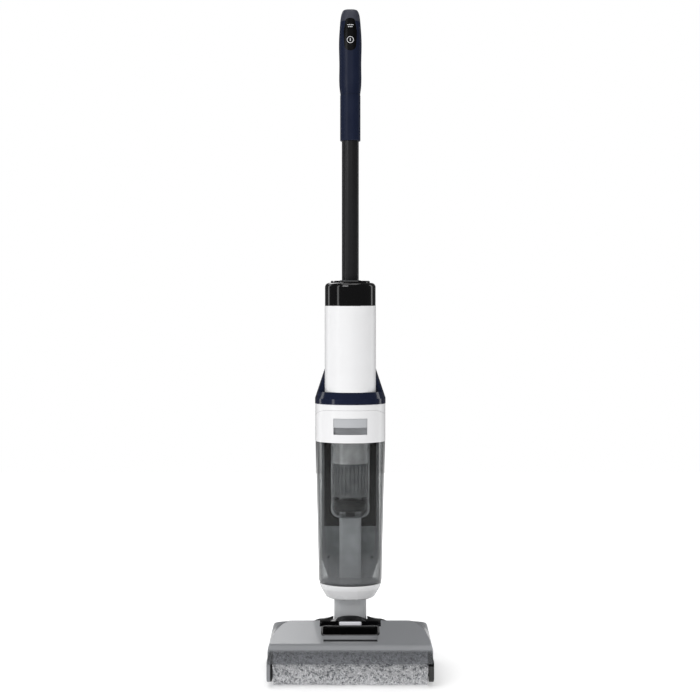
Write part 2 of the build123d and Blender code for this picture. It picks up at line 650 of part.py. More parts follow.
# ---------------------------------------------------------------- neck
def neck_yoke():
    """Swivel neck: a cross barrel on the pivot pins, and a hollow post up to the body."""
    half = NECK_W / 2
    post = upright(RectangleRounded(NECK_W, NECK_D, 12), PIVOT_Z, NECK_TOP, PIVOT_Y)
    barrel = rod_x(-half, half, PIVOT_Y, PIVOT_Z, BARREL_R)
    yoke = post + barrel + rod_z(NECK_TOP - 1, CUP_Z0 + SPIGOT_H, 0, PIVOT_Y, SPIGOT_R)
    yoke -= rod_x(-CHANNEL_X - 2, CHANNEL_X + 2, PIVOT_Y, PIVOT_Z, BARREL_R - 5)
    yoke -= block(-CHANNEL_X, CHANNEL_X, PIVOT_Y - 13, PIVOT_Y + 13, PIVOT_Z, NECK_TOP - 6)
    yoke -= rod_z(NECK_TOP - 8, CUP_Z0 + SPIGOT_H + 1, 0, PIVOT_Y, CHANNEL_X)
    yoke -= block(-CHANNEL_X, CHANNEL_X, PIVOT_Y - BARREL_R - 1, PIVOT_Y, PIVOT_Z - BARREL_R - 1, PIVOT_Z + 5)
    yoke -= rod_x(-half - 1, half + 1, PIVOT_Y, PIVOT_Z, PIN_R + RUN)
    z = CUP_Z0 + CUP_FLOOR + 0.2
    groove = rod_z(z, z + 2.2, 0, PIVOT_Y, SPIGOT_R + 2) - rod_z(z, z + 2.2, 0, PIVOT_Y, SPIGOT_R - 1.5)
    return one_solid(yoke - groove)


def pivot_pins():
    end = NECK_SLOT + WALL + SEAT + BEARING_T
    return both_sides(rod_x(CHANNEL_X + 3, end, PIVOT_Y, PIVOT_Z, PIN_R))


def swivel_retainer():
    """Spring ring in the spigot's groove, above the cup floor."""
    z = CUP_Z0 + CUP_FLOOR + SEAT
    ring = rod_z(z, z + 2, 0, PIVOT_Y, SPIGOT_R + 5) - rod_z(z - 1, z + 3, 0, PIVOT_Y, SPIGOT_R - 1.4)
    return ring - block(-3, 3, PIVOT_Y, PIVOT_Y + SPIGOT_R + 6, z - 1, z + 3)


# ---------------------------------------------------------------- lower body
def pipe_face(grow):
    return RectangleRounded(PIPE_X + 2 * grow, PIPE_Y + 2 * grow, PIPE_Y / 2 + grow - 0.02)


def lower_cup():
    """White foot of the body: closes over the swivel and carries the tank."""
    points = [(0, CUP_Z0), (CUP_R - 15, CUP_Z0), (CUP_R - 10.5, CUP_Z0 + 2.6), (CUP_R - 2.0, CUP_Z0 + 17),
              (CUP_R, DECK_Z - 2), (CUP_R, DECK_Z), (0, DECK_Z)]
    cup = spun(points, BODY_Y)
    hollow = [(0, CUP_Z0 + CUP_FLOOR), (CUP_R - 12.5, CUP_Z0 + CUP_FLOOR), (CUP_R - 4.5, CUP_Z0 + 18),
              (CUP_R - 4.5, DECK_Z - 3), (0, DECK_Z - 3)]
    cup -= spun(hollow, BODY_Y)
    cup -= rod_z(CUP_Z0 - 1, CUP_Z0 + CUP_FLOOR + 1, 0, PIVOT_Y, SPIGOT_R + RUN)
    return cup - upright(pipe_face(-PIPE_WALL), DECK_Z - 5, DECK_Z + 1, PIPE_C)


def spine_solid(inset):
    """Rear housing behind both tanks, from the cup to the band."""
    r = SPINE_R - inset
    z1 = BAND_TOP - inset
    foot = DECK_Z - (2 if inset else 0)
    body = spun([(0, foot), (CUP_R - 0.5 - inset, foot), (CUP_R - 0.5 - inset, DECK_Z + 1),
                 (r, DECK_Z + 36), (r, z1), (0, z1)], BODY_Y)
    body &= block(-SPINE_R, SPINE_R, BODY_Y + SPINE_FACE + inset, BODY_Y + 80, 0, z1)
    return body - block(-SPINE_R, SPINE_R, BODY_Y + SPINE_SLIM - inset, BODY_Y + 90,
                        CLEAN_Z0 - SEAT - inset, z1 + 1)


def pad_solid(grow):
    y1 = BODY_Y + SPINE_R + 1.5
    return block(-15 - grow, 15 + grow, y1 - 5 - grow, y1 + grow, DECK_Z + 46 - grow, DECK_Z + 70 + grow)


def spine_housing():
    spine = spine_solid(0) - spine_solid(WALL)
    spine -= rod_y(BODY_Y + SPINE_SLIM - 4, BODY_Y + SPINE_SLIM + 1, 0, VALVE_Z, VALVE_R + SEAT)
    return one_solid(spine - pad_solid(SEAT))


def charge_contacts():
    """Pad with two sprung studs that meet the charging stand."""
    pad = pad_solid(0)
    y1 = BODY_Y + SPINE_R + 1.5
    for x in (-8, 8):
        pad -= rod_y(y1 - 0.8, y1 + 1, x, DECK_Z + 58, 3.2) - rod_y(y1 - 1, y1 + 2, x, DECK_Z + 58, 2.4)
    return pad


def bay_panel():
    """Dark panel behind the upper half of the tank."""
    y0, y1 = BODY_Y + TANK_BACK + SEAT, BODY_Y + SPINE_FACE
    return block(-44, 44, y0, y1, PANEL_Z0, TANK_TOP + 46)


def bay_stops():
    """Two rubber stops that the back of the tank rests against."""
    y0, y1 = BODY_Y + TANK_BACK + SEAT, BODY_Y + SPINE_FACE
    return both_sides(rod_y(y0, y1, 37, TANK_Z0 + 36, 2.4))


def water_pump():
    """Small diaphragm pump on the spine's inner wall."""
    y0 = BODY_Y + SPINE_FACE + WALL + SEAT
    body = block(-13, 13, y0, y0 + 15, DECK_Z + 50, DECK_Z + 84)
    head = rod_z(DECK_Z + 84, DECK_Z + 104, 0, y0 + 7.5, 7)
    ports = rod_z(DECK_Z + 104, DECK_Z + 112, -3.5, y0 + 7.5, 2) + rod_z(DECK_Z + 104, DECK_Z + 112, 3.5, y0 + 7.5, 2)
    return body + head + ports


def control_board():
    """Circuit board with its larger parts, on the front wall of the spine."""
    y0 = BODY_Y + SPINE_FACE + WALL + SEAT
    board = block(-30, 30, y0, y0 + 1.6, TANK_TOP - 60, TANK_TOP + 40)
    for x, z, w, h in ((-18, -40, 12, 16), (6, -30, 18, 18), (-12, 5, 24, 10), (16, 22, 10, 20)):
        board += block(x, x + w, y0 + 1.5, y0 + 4.4, TANK_TOP + z, TANK_TOP + z + h)
    return board


# ---------------------------------------------------------------- upper body
def arch_face(grow):
    """Front outline of the tank head under the arched seam, in (x, z)."""
    half, top = BAND_R + 3 + grow, ARCH_TOP + grow
    rx, rz = 26 + grow, 17 + grow
    right = oval_arc(half - rx, top - rz, rx, rz, 0, 90)
    left = oval_arc(rx - half, top - rz, rx, rz, 90, 90)
    low = Polyline((-half, top - rz), (-half, TANK_Z0), (half, TANK_Z0), (half, top - rz))
    return make_face([right, Line((half - rx, top), (rx - half, top)), left, low])


def upper_band():
    """Fixed ring above the tank head, with the floor that the suction unit stands on."""
    band = rod_z(ARCH_TOP - 20, BAND_TOP, 0, BODY_Y, BAND_R)
    band -= rod_z(ARCH_TOP - 21, BAND_TOP - 5, 0, BODY_Y, BAND_R - 3)
    band -= block(-BAND_R, BAND_R, BODY_Y + SPINE_FACE - SEAT, BODY_Y + 90, 0, BAND_TOP + 1)
    band -= prism_y(arch_face(SEAT), BODY_Y - 90, BODY_Y + 90)
    return one_solid(band - rod_z(BAND_TOP - 8, BAND_TOP + 1, 0, SLEEVE_Y, FAN_EYE_R))


def shoulder(inset):
    """Shoulder outline: a round foot drawn in and back towards the top, flat behind."""
    foot = BAND_R + 0.4 - inset
    lip = BAND_TOP + SHROUD_LIP
    top = SHROUD_TOP - inset
    lower = Plane.XY.offset(lip) * Pos(0, BODY_Y) * Circle(foot)
    upper = Plane.XY.offset(top) * Pos(0, BODY_Y + SHROUD_BACK) * Circle(SHROUD_TOP_R - inset)
    body = rod_z(BAND_TOP - (1 if inset else 0), lip, 0, BODY_Y, foot) + loft([lower, upper])
    return body - block(-90, 90, BODY_Y + SPINE_SLIM - inset, BODY_Y + 99, BAND_TOP - 2, SHROUD_TOP + 1)


def shroud():
    """Glossy shoulder under the front housing, with wings that rise behind its sides."""
    reach = BAND_R + 1
    front_y = BODY_Y - reach
    body = shoulder(0) - shoulder(WALL)
    body -= block(-reach, reach, front_y, SLEEVE_Y, SLEEVE_Z0, SHROUD_TOP + 1)
    deck = block(-reach, reach, front_y, SLEEVE_Y + WALL, SLEEVE_Z0 - WALL, SLEEVE_Z0)
    wing_faces = block(-reach, reach, SLEEVE_Y, SLEEVE_Y + WALL, SLEEVE_Z0 - WALL, SHROUD_TOP)
    body += (deck + wing_faces) & shoulder(0)
    body -= rod_z(SLEEVE_Z0, SHROUD_TOP + 1, 0, SLEEVE_Y, SLEEVE_R + 0.1)
    body -= rod_z(BAND_TOP - 1, SLEEVE_Z0 + 1, 0, SLEEVE_Y, FAN_CASE_R + 1)
    return one_solid(body)


def sleeve():
    tube = rod_z(SLEEVE_Z0, SLEEVE_TOP, 0, SLEEVE_Y, SLEEVE_R)
    return tube - rod_z(SLEEVE_Z0 - 1, SLEEVE_TOP + 1, 0, SLEEVE_Y, SLEEVE_R - WALL)


def top_cap():
    """Cap of the front housing, moulded with the deep socket of the handle tube."""
    cap = rod_z(SLEEVE_TOP + SEAT, CAP_TOP, 0, SLEEVE_Y, CAP_R)
    cap = fillet(cap.faces().sort_by(Axis.Z)[-1].edges(), CAP_ROUND)
    hollow = rod_z(SLEEVE_TOP - 1, CAP_TOP - 4, 0, SLEEVE_Y, CAP_R - WALL)
    cap -= fillet(hollow.faces().sort_by(Axis.Z)[-1].edges(), CAP_ROUND - 2)
    socket_top = CAP_TOP + LENS_H + 1
    cap += upright(tube_face(SOCKET_WALL), SOCKET_Z0 - 3, socket_top, SLEEVE_Y)
    return cap - upright(tube_face(0.15), SOCKET_Z0, socket_top + 1, SLEEVE_Y)


def display_lens():
    """Round display window on top of the cap, about the tube socket."""
    lens = rod_z(CAP_TOP, CAP_TOP + LENS_H, 0, SLEEVE_Y, LENS_R)
    lens = chamfer(lens.faces().sort_by(Axis.Z)[-1].edges(), 1.2)
    return lens - upright(tube_face(SOCKET_WALL + 0.1), CAP_TOP - 1, CAP_TOP + 9, SLEEVE_Y)


def motor_case():
    """Suction unit casing with its inlet eye below and slots above."""
    z1 = FAN_CASE_Z0 + FAN_CASE_H
    case = rod_z(FAN_CASE_Z0, z1, 0, SLEEVE_Y, FAN_CASE_R)
    case = fillet(case.faces().sort_by(Axis.Z)[-1].edges(), 6)
    case -= rod_z(FAN_CASE_Z0 + 2, z1 - 2.5, 0, SLEEVE_Y, FAN_CASE_R - 2)
    case -= rod_z(FAN_CASE_Z0 - 1, FAN_CASE_Z0 + 3, 0, SLEEVE_Y, FAN_EYE_R)
    for turn in range(0, 360, 45):
        slot = Rot(0, 0, turn) * block(14, 24, -2.5, 2.5, z1 - 4, z1 + 1)
        case -= Pos(0, SLEEVE_Y, 0) * slot
    return case


def motor_stator():
    z0 = FAN_CASE_Z0 + 2 + FAN_H + 6
    z1 = FAN_CASE_Z0 + FAN_CASE_H - 2.5
    stator = rod_z(z0, z1, 0, SLEEVE_Y, STATOR_R)
    carrier = rod_z(z0, z0 + 3, 0, SLEEVE_Y, FAN_CASE_R - 2 - 0.1)
    for turn in range(0, 360, 45):
        carrier -= Pos(0, SLEEVE_Y, 0) * Rot(0, 0, turn) * rod_z(z0 - 1, z0 + 4, (STATOR_R + FAN_CASE_R - 2) / 2, 0, 3.6)
    return stator + carrier - rod_z(z0 - 1, z1 - 6, 0, SLEEVE_Y, SHAFT_R + RUN)


def fan_impeller():
    """Backplate, eleven blades and shaft of the suction fan."""
    z0 = FAN_CASE_Z0 + 2.8
    plate = rod_z(z0 + FAN_H - 2, z0 + FAN_H, 0, SLEEVE_Y, FAN_R)
    fan = plate + rod_z(z0 + 2, z0 + FAN_H, 0, SLEEVE_Y, 7)
    for n in range(11):
        spoke = Rot(0, 0, n * 360 / 11) * Pos((FAN_R + 5) / 2, 0, z0 + FAN_H / 2)
        blade = spoke * Rot(0, 0, 28) * Box(FAN_R - 10, 1.4, FAN_H - 1)
        fan += Pos(0, SLEEVE_Y, 0) * blade
    return one_solid(fan + rod_z(z0 + FAN_H, FAN_CASE_Z0 + FAN_CASE_H - 9.5, 0, SLEEVE_Y, SHAFT_R))


def battery_pack():
    """Wrapped block of cells between the suction unit and the handle socket."""
    z0 = FAN_CASE_Z0 + FAN_CASE_H + SEAT
    face = RectangleRounded(BATTERY_X, BATTERY_Y, 9)
    pack = upright(face, z0, z0 + BATTERY_H, SLEEVE_Y)
    pack += block(-14, 14, SLEEVE_Y - 8, SLEEVE_Y + 8, z0 + BATTERY_H - 1, z0 + BATTERY_H + 4)
    return pack


# ---------------------------------------------------------------- dirty water tank
def tank_solid(inset, z0, z1):
    """Tapered drum with a flat back."""
    slope = (TANK_R1 - TANK_R0) / TANK_H
    r0 = TANK_R0 + slope * (z0 - TANK_Z0) - inset
    r1 = TANK_R0 + slope * (z1 - TANK_Z0) - inset
    drum = spun([(0, z0), (r0, z0), (r1, z1), (0, z1)], BODY_Y)
    return drum & block(-90, 90, BODY_Y - 90, BODY_Y + TANK_BACK - inset, z0 - 1, z1 + 1)


def dirty_tank_shell():
    outer = tank_solid(0, TANK_Z0, TANK_TOP)
    outer = fillet(outer.faces().sort_by(Axis.Z)[0].edges(), 5)
    inner = tank_solid(WALL, TANK_Z0 + 3, TANK_TOP + 1)
    inner = fillet(inner.faces().sort_by(Axis.Z)[0].edges().filter_by(GeomType.CIRCLE), 4)
    tank = outer - inner
    tank -= upright(pipe_face(-PIPE_WALL), TANK_Z0 - 1, TANK_Z0 + 4, PIPE_C)
    return one_solid(tank)


def inlet_pipe():
    """Riser that carries dirty water and air up inside the tank."""
    z0, z1 = TANK_Z0 + 3, TANK_TOP - PIPE_TOP_GAP
    pipe = upright(pipe_face(0), z0, z1, PIPE_C)
    return pipe - upright(pipe_face(-PIPE_WALL), z0 - 1, z1 + 1, PIPE_C)


def tank_head():
    """White lid of the tank, with the window for the release plate and a finger pocket behind it."""
    z0 = TANK_TOP + SEAT
    drum = rod_z(z0, BAND_TOP, 0, BODY_Y, BAND_R)
    drum &= block(-90, 90, BODY_Y - 90, BODY_Y + TANK_BACK, z0, BAND_TOP)
    drum &= prism_y(arch_face(0), BODY_Y - 90, BODY_Y + 90)
    hollow = rod_z(z0 + 3.5, BAND_TOP, 0, BODY_Y, BAND_R - 3)
    hollow &= block(-90, 90, BODY_Y - 90, BODY_Y + TANK_BACK - 3, z0, BAND_TOP)
    hollow &= prism_y(arch_face(-3), BODY_Y - 90, BODY_Y + 90)
    # the pocket's own walls stay when the rest is hollowed
    front = BODY_Y - BAND_R
    pocket = block(-WINDOW_X - 2, WINDOW_X + 2, front, front + POCKET_IN + 2, WINDOW_Z0 - 2, WINDOW_Z1 + 2)
    head = drum - (hollow - pocket)
    head -= block(-WINDOW_X, WINDOW_X, front - 5, front + POCKET_IN, WINDOW_Z0, WINDOW_Z1)
    head -= rod_z(z0 - 1, z0 + 4, 0, CAGE_Y, COLLAR_R - 4)
    head -= rod_z(ARCH_TOP - 5, ARCH_TOP + 1, 0, SLEEVE_Y + 4, FAN_EYE_R)
    for x in (-STEM_X, STEM_X):
        head -= rod_y(front + POCKET_IN - 1, front + POCKET_IN + 3, x, STEM_Z, STEM_R + RUN)
    return one_solid(head)


def tank_latch():
    """Release plate in the window, curved like the wall round it."""
    z0, z1 = WINDOW_Z1 - LATCH_GAP - LATCH_H, WINDOW_Z1 - LATCH_GAP
    ring = rod_z(z0, z1, 0, BODY_Y, BAND_R - 0.9) - rod_z(z0 - 1, z1 + 1, 0, BODY_Y, BAND_R - 4.5)
    half = WINDOW_X - LATCH_GAP
    plate = one_solid(ring & block(-half, half, BODY_Y - 90, BODY_Y, z0, z1))
    front = BODY_Y - BAND_R
    for x in (-STEM_X, STEM_X):
        plate += rod_y(front + 4.5, front + POCKET_IN + 1.6, x, STEM_Z, STEM_R)
    return plate


def filter_collar():
    z1 = TANK_TOP
    collar = rod_z(z1 - COLLAR_H, z1, 0, CAGE_Y, COLLAR_R)
    collar -= rod_z(z1 - 12, z1 - 8, 0, CAGE_Y, COLLAR_R + 1) - rod_z(z1 - 12, z1 - 8, 0, CAGE_Y, COLLAR_R - 1)
    return collar - rod_z(z1 - COLLAR_H - 1, z1 + 1, 0, CAGE_Y, COLLAR_R - 5)


def filter_element():
    """Filter cartridge with upright pleats."""
    z0, z1 = FILTER_Z0, FILTER_Z0 + FILTER_H
    body = rod_z(z0, z1, 0, CAGE_Y, FILTER_R)
    for n in range(24):
        groove = Rot(0, 0, n * 15) * block(FILTER_R - 1.6, FILTER_R + 2, -0.9, 0.9, z0 + 4, z1 - 4)
        body -= Pos(0, CAGE_Y, 0) * groove
    return body - rod_z(z0 + 4, z1 + 1, 0, CAGE_Y, FILTER_R - 6)


def float_cage():
    """Round-bottomed guard under the lid that the float rides in."""
    cage = rod_z(CAGE_Z0, TANK_TOP, 0, CAGE_Y, CAGE_R)
    cage = fillet(cage.faces().sort_by(Axis.Z)[0].edges(), 13)
    inner = rod_z(CAGE_Z0 + CAGE_WALL, TANK_TOP + 1, 0, CAGE_Y, CAGE_R - CAGE_WALL)
    cage -= fillet(inner.faces().sort_by(Axis.Z)[0].edges(), 11.5)
    slot = block(-CAGE_R - 5, CAGE_R + 5, CAGE_Y - 6, CAGE_Y + 6, CAGE_Z0 + 22, CAGE_Z0 + 48)
    return one_solid(cage - slot)


def float_ball():
    """Float puck on a central foot; it rises under the filter when the tank is full."""
    puck = rod_z(FLOAT_Z0, FLOAT_Z0 + FLOAT_H, 0, CAGE_Y, FILTER_R - 0.6)
    puck = fillet(puck.edges().filter_by(GeomType.CIRCLE), 3)
    return puck + rod_z(CAGE_Z0 + CAGE_WALL + SEAT, FLOAT_Z0 + 1, 0, CAGE_Y, 8)


# ---------------------------------------------------------------- clean water tank
def clean_solid(inset):
    back = BODY_Y + CLEAN_BACK - inset
    low_front = BODY_Y + SPINE_SLIM + SEAT + inset
    half = CLEAN_X - inset
    lower = block(-half, half, low_front, back, CLEAN_Z0 + inset, CLEAN_TOP - inset)
    upper = block(-half, half, BODY_Y + CLEAN_FRONT + inset, low_front + 1,
                  SHROUD_TOP + SEAT + inset, CLEAN_TOP - inset)
    body = lower + upper
    rear = body.edges().filter_by(Axis.Z).group_by(Axis.Y)[-1]
    return fillet(rear, 16 - inset)


def clean_tank_shell():
    tank = clean_solid(0) - clean_solid(WALL)
    fill_y = BODY_Y + (CLEAN_FRONT + CLEAN_BACK) / 2
    tank -= rod_z(CLEAN_TOP - 5, CLEAN_TOP + 1, 0, fill_y, FILL_R - 2)
    face = BODY_Y + SPINE_SLIM + SEAT
    tank += rod_y(face - 5, face + 1, 0, VALVE_Z, VALVE_R)
    return tank - rod_y(face - 6, face + 4, 0, VALVE_Z, VALVE_R - 2)


def fill_cap():
    """Flip cap of the clean water tank, with its plug and hinge bead."""
    fill_y = BODY_Y + (CLEAN_FRONT + CLEAN_BACK) / 2
    z0 = CLEAN_TOP + SEAT
    cap = rod_z(z0, z0 + 3.5, 0, fill_y, FILL_R)
    cap = chamfer(cap.faces().sort_by(Axis.Z)[-1].edges(), 1)
    cap += rod_z(z0 - 3, z0 + 1, 0, fill_y, FILL_R - 4.5)
    cap += block(-6, 6, fill_y, fill_y + FILL_R + 3, z0, z0 + 3)
    return cap + rod_x(-6, 6, fill_y + FILL_R + 3, z0 + 1.8, 1.8)


# ---------------------------------------------------------------- handle
def handle_tube():
    low = SOCKET_Z0 + SEAT
    tube = upright(tube_face(0), low, BEND_Z - 12, SLEEVE_Y)
    return tube - upright(tube_face(-TUBE_WALL), low - 1, BEND_Z, SLEEVE_Y)


def grip_frame(shape):
    """Takes a shape from the grip's own frame, where it stands straight, to its lean."""
    return Pos(0, SLEEVE_Y, BEND_Z) * Rot(-GRIP_LEAN, 0, 0) * shape


def grip_sections(inset):
    """(height along the grip, width, depth) of the grip's sections."""
    top = GRIP_LEN
    rows = [(-14, COLLAR_X, COLLAR_Y), (10, COLLAR_X + 1, COLLAR_Y + 0.5), (40, 36.6, 37.5), (72, 37.2, 38),
            (top - 34, 35.6, 36.5), (top - 17, 33.0, 34), (top - 5, 28.6, 30), (top - 0.6, 24.5, 26)]
    return [(z - (inset if z > 100 else 0), w - 2 * inset, d - 2 * inset) for z, w, d in rows]


def grip_solid(inset):
    faces = [Plane.XY.offset(z) * RectangleRounded(w, d, 0.40 * w) for z, w, d in grip_sections(inset)]
    return loft(faces)


def bend_cut(below, gap):
    """Half space on one side of the mitre between collar and grip."""
    far = 200.0
    mitre = Pos(0, SLEEVE_Y, BEND_Z) * Rot(-GRIP_LEAN / 2, 0, 0)
    return mitre * (Pos(0, 0, -far / 2 - gap) if below else Pos(0, 0, far / 2 + gap)) * Box(far, far, far)


def grip_collar():
    collar = upright(RectangleRounded(COLLAR_X, COLLAR_Y, COLLAR_ROUND), COLLAR_Z0, BEND_Z + 10, SLEEVE_Y)
    collar = fillet(collar.faces().sort_by(Axis.Z)[0].edges(), 1.0)
    collar -= upright(tube_face(0.15), COLLAR_Z0 - 1, BEND_Z - 10, SLEEVE_Y)
    inner = RectangleRounded(COLLAR_X - 6, COLLAR_Y - 6, COLLAR_ROUND - 3)
    collar -= upright(inner, BEND_Z - 11, BEND_Z + 20, SLEEVE_Y)
    return one_solid(collar & bend_cut(True, SEAT / 2))


def bezel_face(grow):
    """Long rounded outline of the button panel, in (x, z) of the grip's frame."""
    reach = BEZEL_Z1 - BEZEL_Z0
    r0, r1 = BEZEL_R0 + grow, BEZEL_R1 + grow
    lean = acos((r0 - r1) / reach)
    flat = Polygon((-r0 * sin(lean), BEZEL_Z0 + r0 * cos(lean)), (r0 * sin(lean), BEZEL_Z0 + r0 * cos(lean)),
                   (r1 * sin(lean), BEZEL_Z1 + r1 * cos(lean)), (-r1 * sin(lean), BEZEL_Z1 + r1 * cos(lean)),
                   align=None)
    return flat + Pos(0, BEZEL_Z0) * Circle(r0) + Pos(0, BEZEL_Z1) * Circle(r1)


BEZEL_SEAT_Y = -16.2


def grip_half(front):
    shell = grip_solid(0) - grip_solid(WALL)
    shell = shell & Pos(0, 0, GRIP_CAP_Z / 2 - 50) * Box(90, 90, GRIP_CAP_Z + 100)
    side = -1 if front else 1
    half = shell & Pos(0, side * (30 + SEAT / 2), 80) * Box(90, 60, 400)
    if front:
        pad = prism_y(bezel_face(1.5), BEZEL_SEAT_Y, BEZEL_SEAT_Y + 2) & grip_solid(1)
        half += pad - Pos(0, 0, GRIP_CAP_Z + 50) * Box(90, 90, 100)
        half = half - prism_y(bezel_face(0.15), -40, BEZEL_SEAT_Y)
        half -= rod_y(-40, 0, 0, POWER_Z, POWER_R + 0.3)
        half -= prism_y(mode_face(0.3), -40, -2)
    made = grip_frame(half) & bend_cut(False, SEAT / 2)
    return one_solid(made)


def grip_cap():
    """Dark tip that closes both halves of the grip."""
    tip = grip_solid(0) & Pos(0, 0, GRIP_CAP_Z + SEAT + 50) * Box(90, 90, 100)
    tip -= grip_solid(WALL) & Pos(0, 0, GRIP_CAP_Z - 5) * Box(90, 90, 24)
    return grip_frame(one_solid(tip - prism_y(bezel_face(0.15), -40, BEZEL_SEAT_Y)))


def mode_face(grow):
    """Half-moon outline of the mode button, in (x, z) of the grip's frame."""
    half, rise = MODE_X / 2 + grow, MODE_H / 2 + grow
    waist = MODE_Z - rise * 0.4
    upper = oval_arc(0, waist, half, 1.4 * rise, 0, 180)
    lower = oval_arc(0, waist, half, 0.6 * rise, 180, 180)
    return make_face([upper, lower])


def button_bezel():
    """Glossy panel with its two button holes, cut to the curve of the grip."""
    plate = prism_y(bezel_face(0), -30, BEZEL_SEAT_Y - 0.05) & grip_solid(0.3)
    plate -= rod_y(-40, 0, 0, POWER_Z, POWER_R + 0.3)
    return grip_frame(one_solid(plate - prism_y(mode_face(0.3), -40, -2)))


def power_button():
    cap = rod_y(-19.0, -15.0, 0, POWER_Z, POWER_R)
    cap = fillet(cap.faces().sort_by(Axis.Y)[0].edges(), 0.6)
    return grip_frame(cap + rod_y(-15.5, -12.5, 0, POWER_Z, 3))


def mode_button():
    cap = prism_y(mode_face(0), -18.6, -14.5) & grip_solid(-0.2)
    return grip_frame(cap + rod_y(-15.5, -12.5, 0, MODE_Z - 0.5, 3))


PIECES = {
    "head_base": head_base, "head_top_shell": head_top_shell, "head_screws": head_screws,
    "cheek_left": cheek_left, "cheek_right": cheek_right, "belt_cover": belt_cover,
    "drive_belt": drive_belt, "drive_pulley": drive_pulley, "motor_pulley": motor_pulley,
    "brush_motor": brush_motor, "roller_core": roller_core, "roller_pile": roller_pile,
    "squeegee_blade": squeegee_blade, "spray_bar": spray_bar, "suction_duct": suction_duct,
    "wheel_axles": wheel_axles, "roller_cover": roller_cover,
    "cover_grip_pocket": cover_grip_pocket, "cover_release": cover_release,
    "neck_yoke": neck_yoke, "pivot_pins": pivot_pins, "swivel_retainer": swivel_retainer,
    "lower_cup": lower_cup, "spine_housing": spine_housing, "charge_contacts": charge_contacts,
    "bay_panel": bay_panel, "bay_stops": bay_stops, "water_pump": water_pump, "control_board": control_board,
    "upper_band": upper_band, "shroud": shroud, "sleeve": sleeve, "top_cap": top_cap,
    "display_lens": display_lens, "motor_case": motor_case,
    "motor_stator": motor_stator, "fan_impeller": fan_impeller, "battery_pack": battery_pack,
    "dirty_tank_shell": dirty_tank_shell, "inlet_pipe": inlet_pipe, "tank_head": tank_head,
    "tank_latch": tank_latch, "filter_collar": filter_collar, "filter_element": filter_element,
    "float_cage": float_cage, "float_ball": float_ball,
    "clean_tank_shell": clean_tank_shell, "fill_cap": fill_cap,
    "handle_tube": handle_tube, "grip_collar": grip_collar, "button_bezel": button_bezel,
    "grip_cap": grip_cap, "power_button": power_button, "mode_button": mode_button,
}


def build_all():
    """Every piece by its name."""
    made = {name: make() for name, make in PIECES.items()}
    made["wheel_hub_right"], made["wheel_hub_left"] = wheel_hub(), mirrored(wheel_hub())
    made["tyre_right"], made["tyre_left"] = tyre(), mirrored(tyre())
    made["grip_front"], made["grip_rear"] = grip_half(True), grip_half(False)
    return made


if __name__ == "__main__":
    for name, shape in build_all().items():
        export_step(shape, f"parts/{name}.step")
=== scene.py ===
"""Upright wet and dry floor scrubber: finishes, roller pile, printed marks, seal and studio."""

import bmesh
import bpy
from math import cos, pi, radians, sin
from mathutils import Matrix, Vector, noise
import random


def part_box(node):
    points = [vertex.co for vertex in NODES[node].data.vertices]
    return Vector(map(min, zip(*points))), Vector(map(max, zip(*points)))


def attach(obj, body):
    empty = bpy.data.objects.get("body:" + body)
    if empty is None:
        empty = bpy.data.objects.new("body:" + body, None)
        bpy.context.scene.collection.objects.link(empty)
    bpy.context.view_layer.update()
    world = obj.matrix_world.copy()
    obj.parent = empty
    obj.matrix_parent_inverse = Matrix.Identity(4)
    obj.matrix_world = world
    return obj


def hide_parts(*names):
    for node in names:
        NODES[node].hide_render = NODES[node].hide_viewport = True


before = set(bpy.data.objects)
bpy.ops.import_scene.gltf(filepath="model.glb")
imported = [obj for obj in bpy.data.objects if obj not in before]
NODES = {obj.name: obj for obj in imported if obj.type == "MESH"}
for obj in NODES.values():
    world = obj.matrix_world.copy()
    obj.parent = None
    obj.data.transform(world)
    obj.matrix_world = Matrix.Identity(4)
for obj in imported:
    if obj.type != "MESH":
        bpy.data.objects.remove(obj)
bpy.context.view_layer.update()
MM = 0.001
GRIP_LEAN = radians(9)      # the button panel leans back from the upright


# ---------------------------------------------------------------- camera and studio
BODY_Y = 0.037              # axis of the round body
EYE_HEIGHT = 0.613
EYE_DISTANCE = 2.75
FRAME_WIDTH = 1.168         # width of the view at the machine's body
HORIZON_DROP = 0.0784       # height from the middle of the view up to the eye level
EYE_SIDESTEP = -0.0005      # sideways, so that the machine stands in the middle of the view
SENSOR_WIDTH = 36.0         # millimetres, as a lens is given in


def aim_camera():
    """Level eye in front of the machine, tipped down a little."""
    data = bpy.data.cameras.new("studio_camera")
    data.sensor_width = SENSOR_WIDTH
    data.lens = SENSOR_WIDTH * EYE_DISTANCE / FRAME_WIDTH
    data.clip_end = 50
    camera = bpy.data.objects.new("studio_camera", data)
    bpy.context.scene.collection.objects.link(camera)
    camera.location = (EYE_SIDESTEP, BODY_Y - EYE_DISTANCE, EYE_HEIGHT)
    tip = HORIZON_DROP / EYE_DISTANCE
    camera.rotation_euler = (pi / 2 - tip, 0, 0)
    bpy.context.scene.camera = camera


aim_camera()
bpy.context.scene.view_settings.view_transform = "Standard"


def area_light(name, place, target, width, height, watts):
    """Soft box that faces its target."""
    data = bpy.data.lights.new(name, "AREA")
    data.shape = "RECTANGLE"
    data.size, data.size_y = width, height
    data.energy = watts
    lamp = bpy.data.objects.new(name, data)
    bpy.context.scene.collection.objects.link(lamp)
    lamp.location = place
    lamp.rotation_euler = (Vector(target) - Vector(place)).to_track_quat("-Z", "Y").to_euler()
    lamp.visible_camera = False
    return lamp


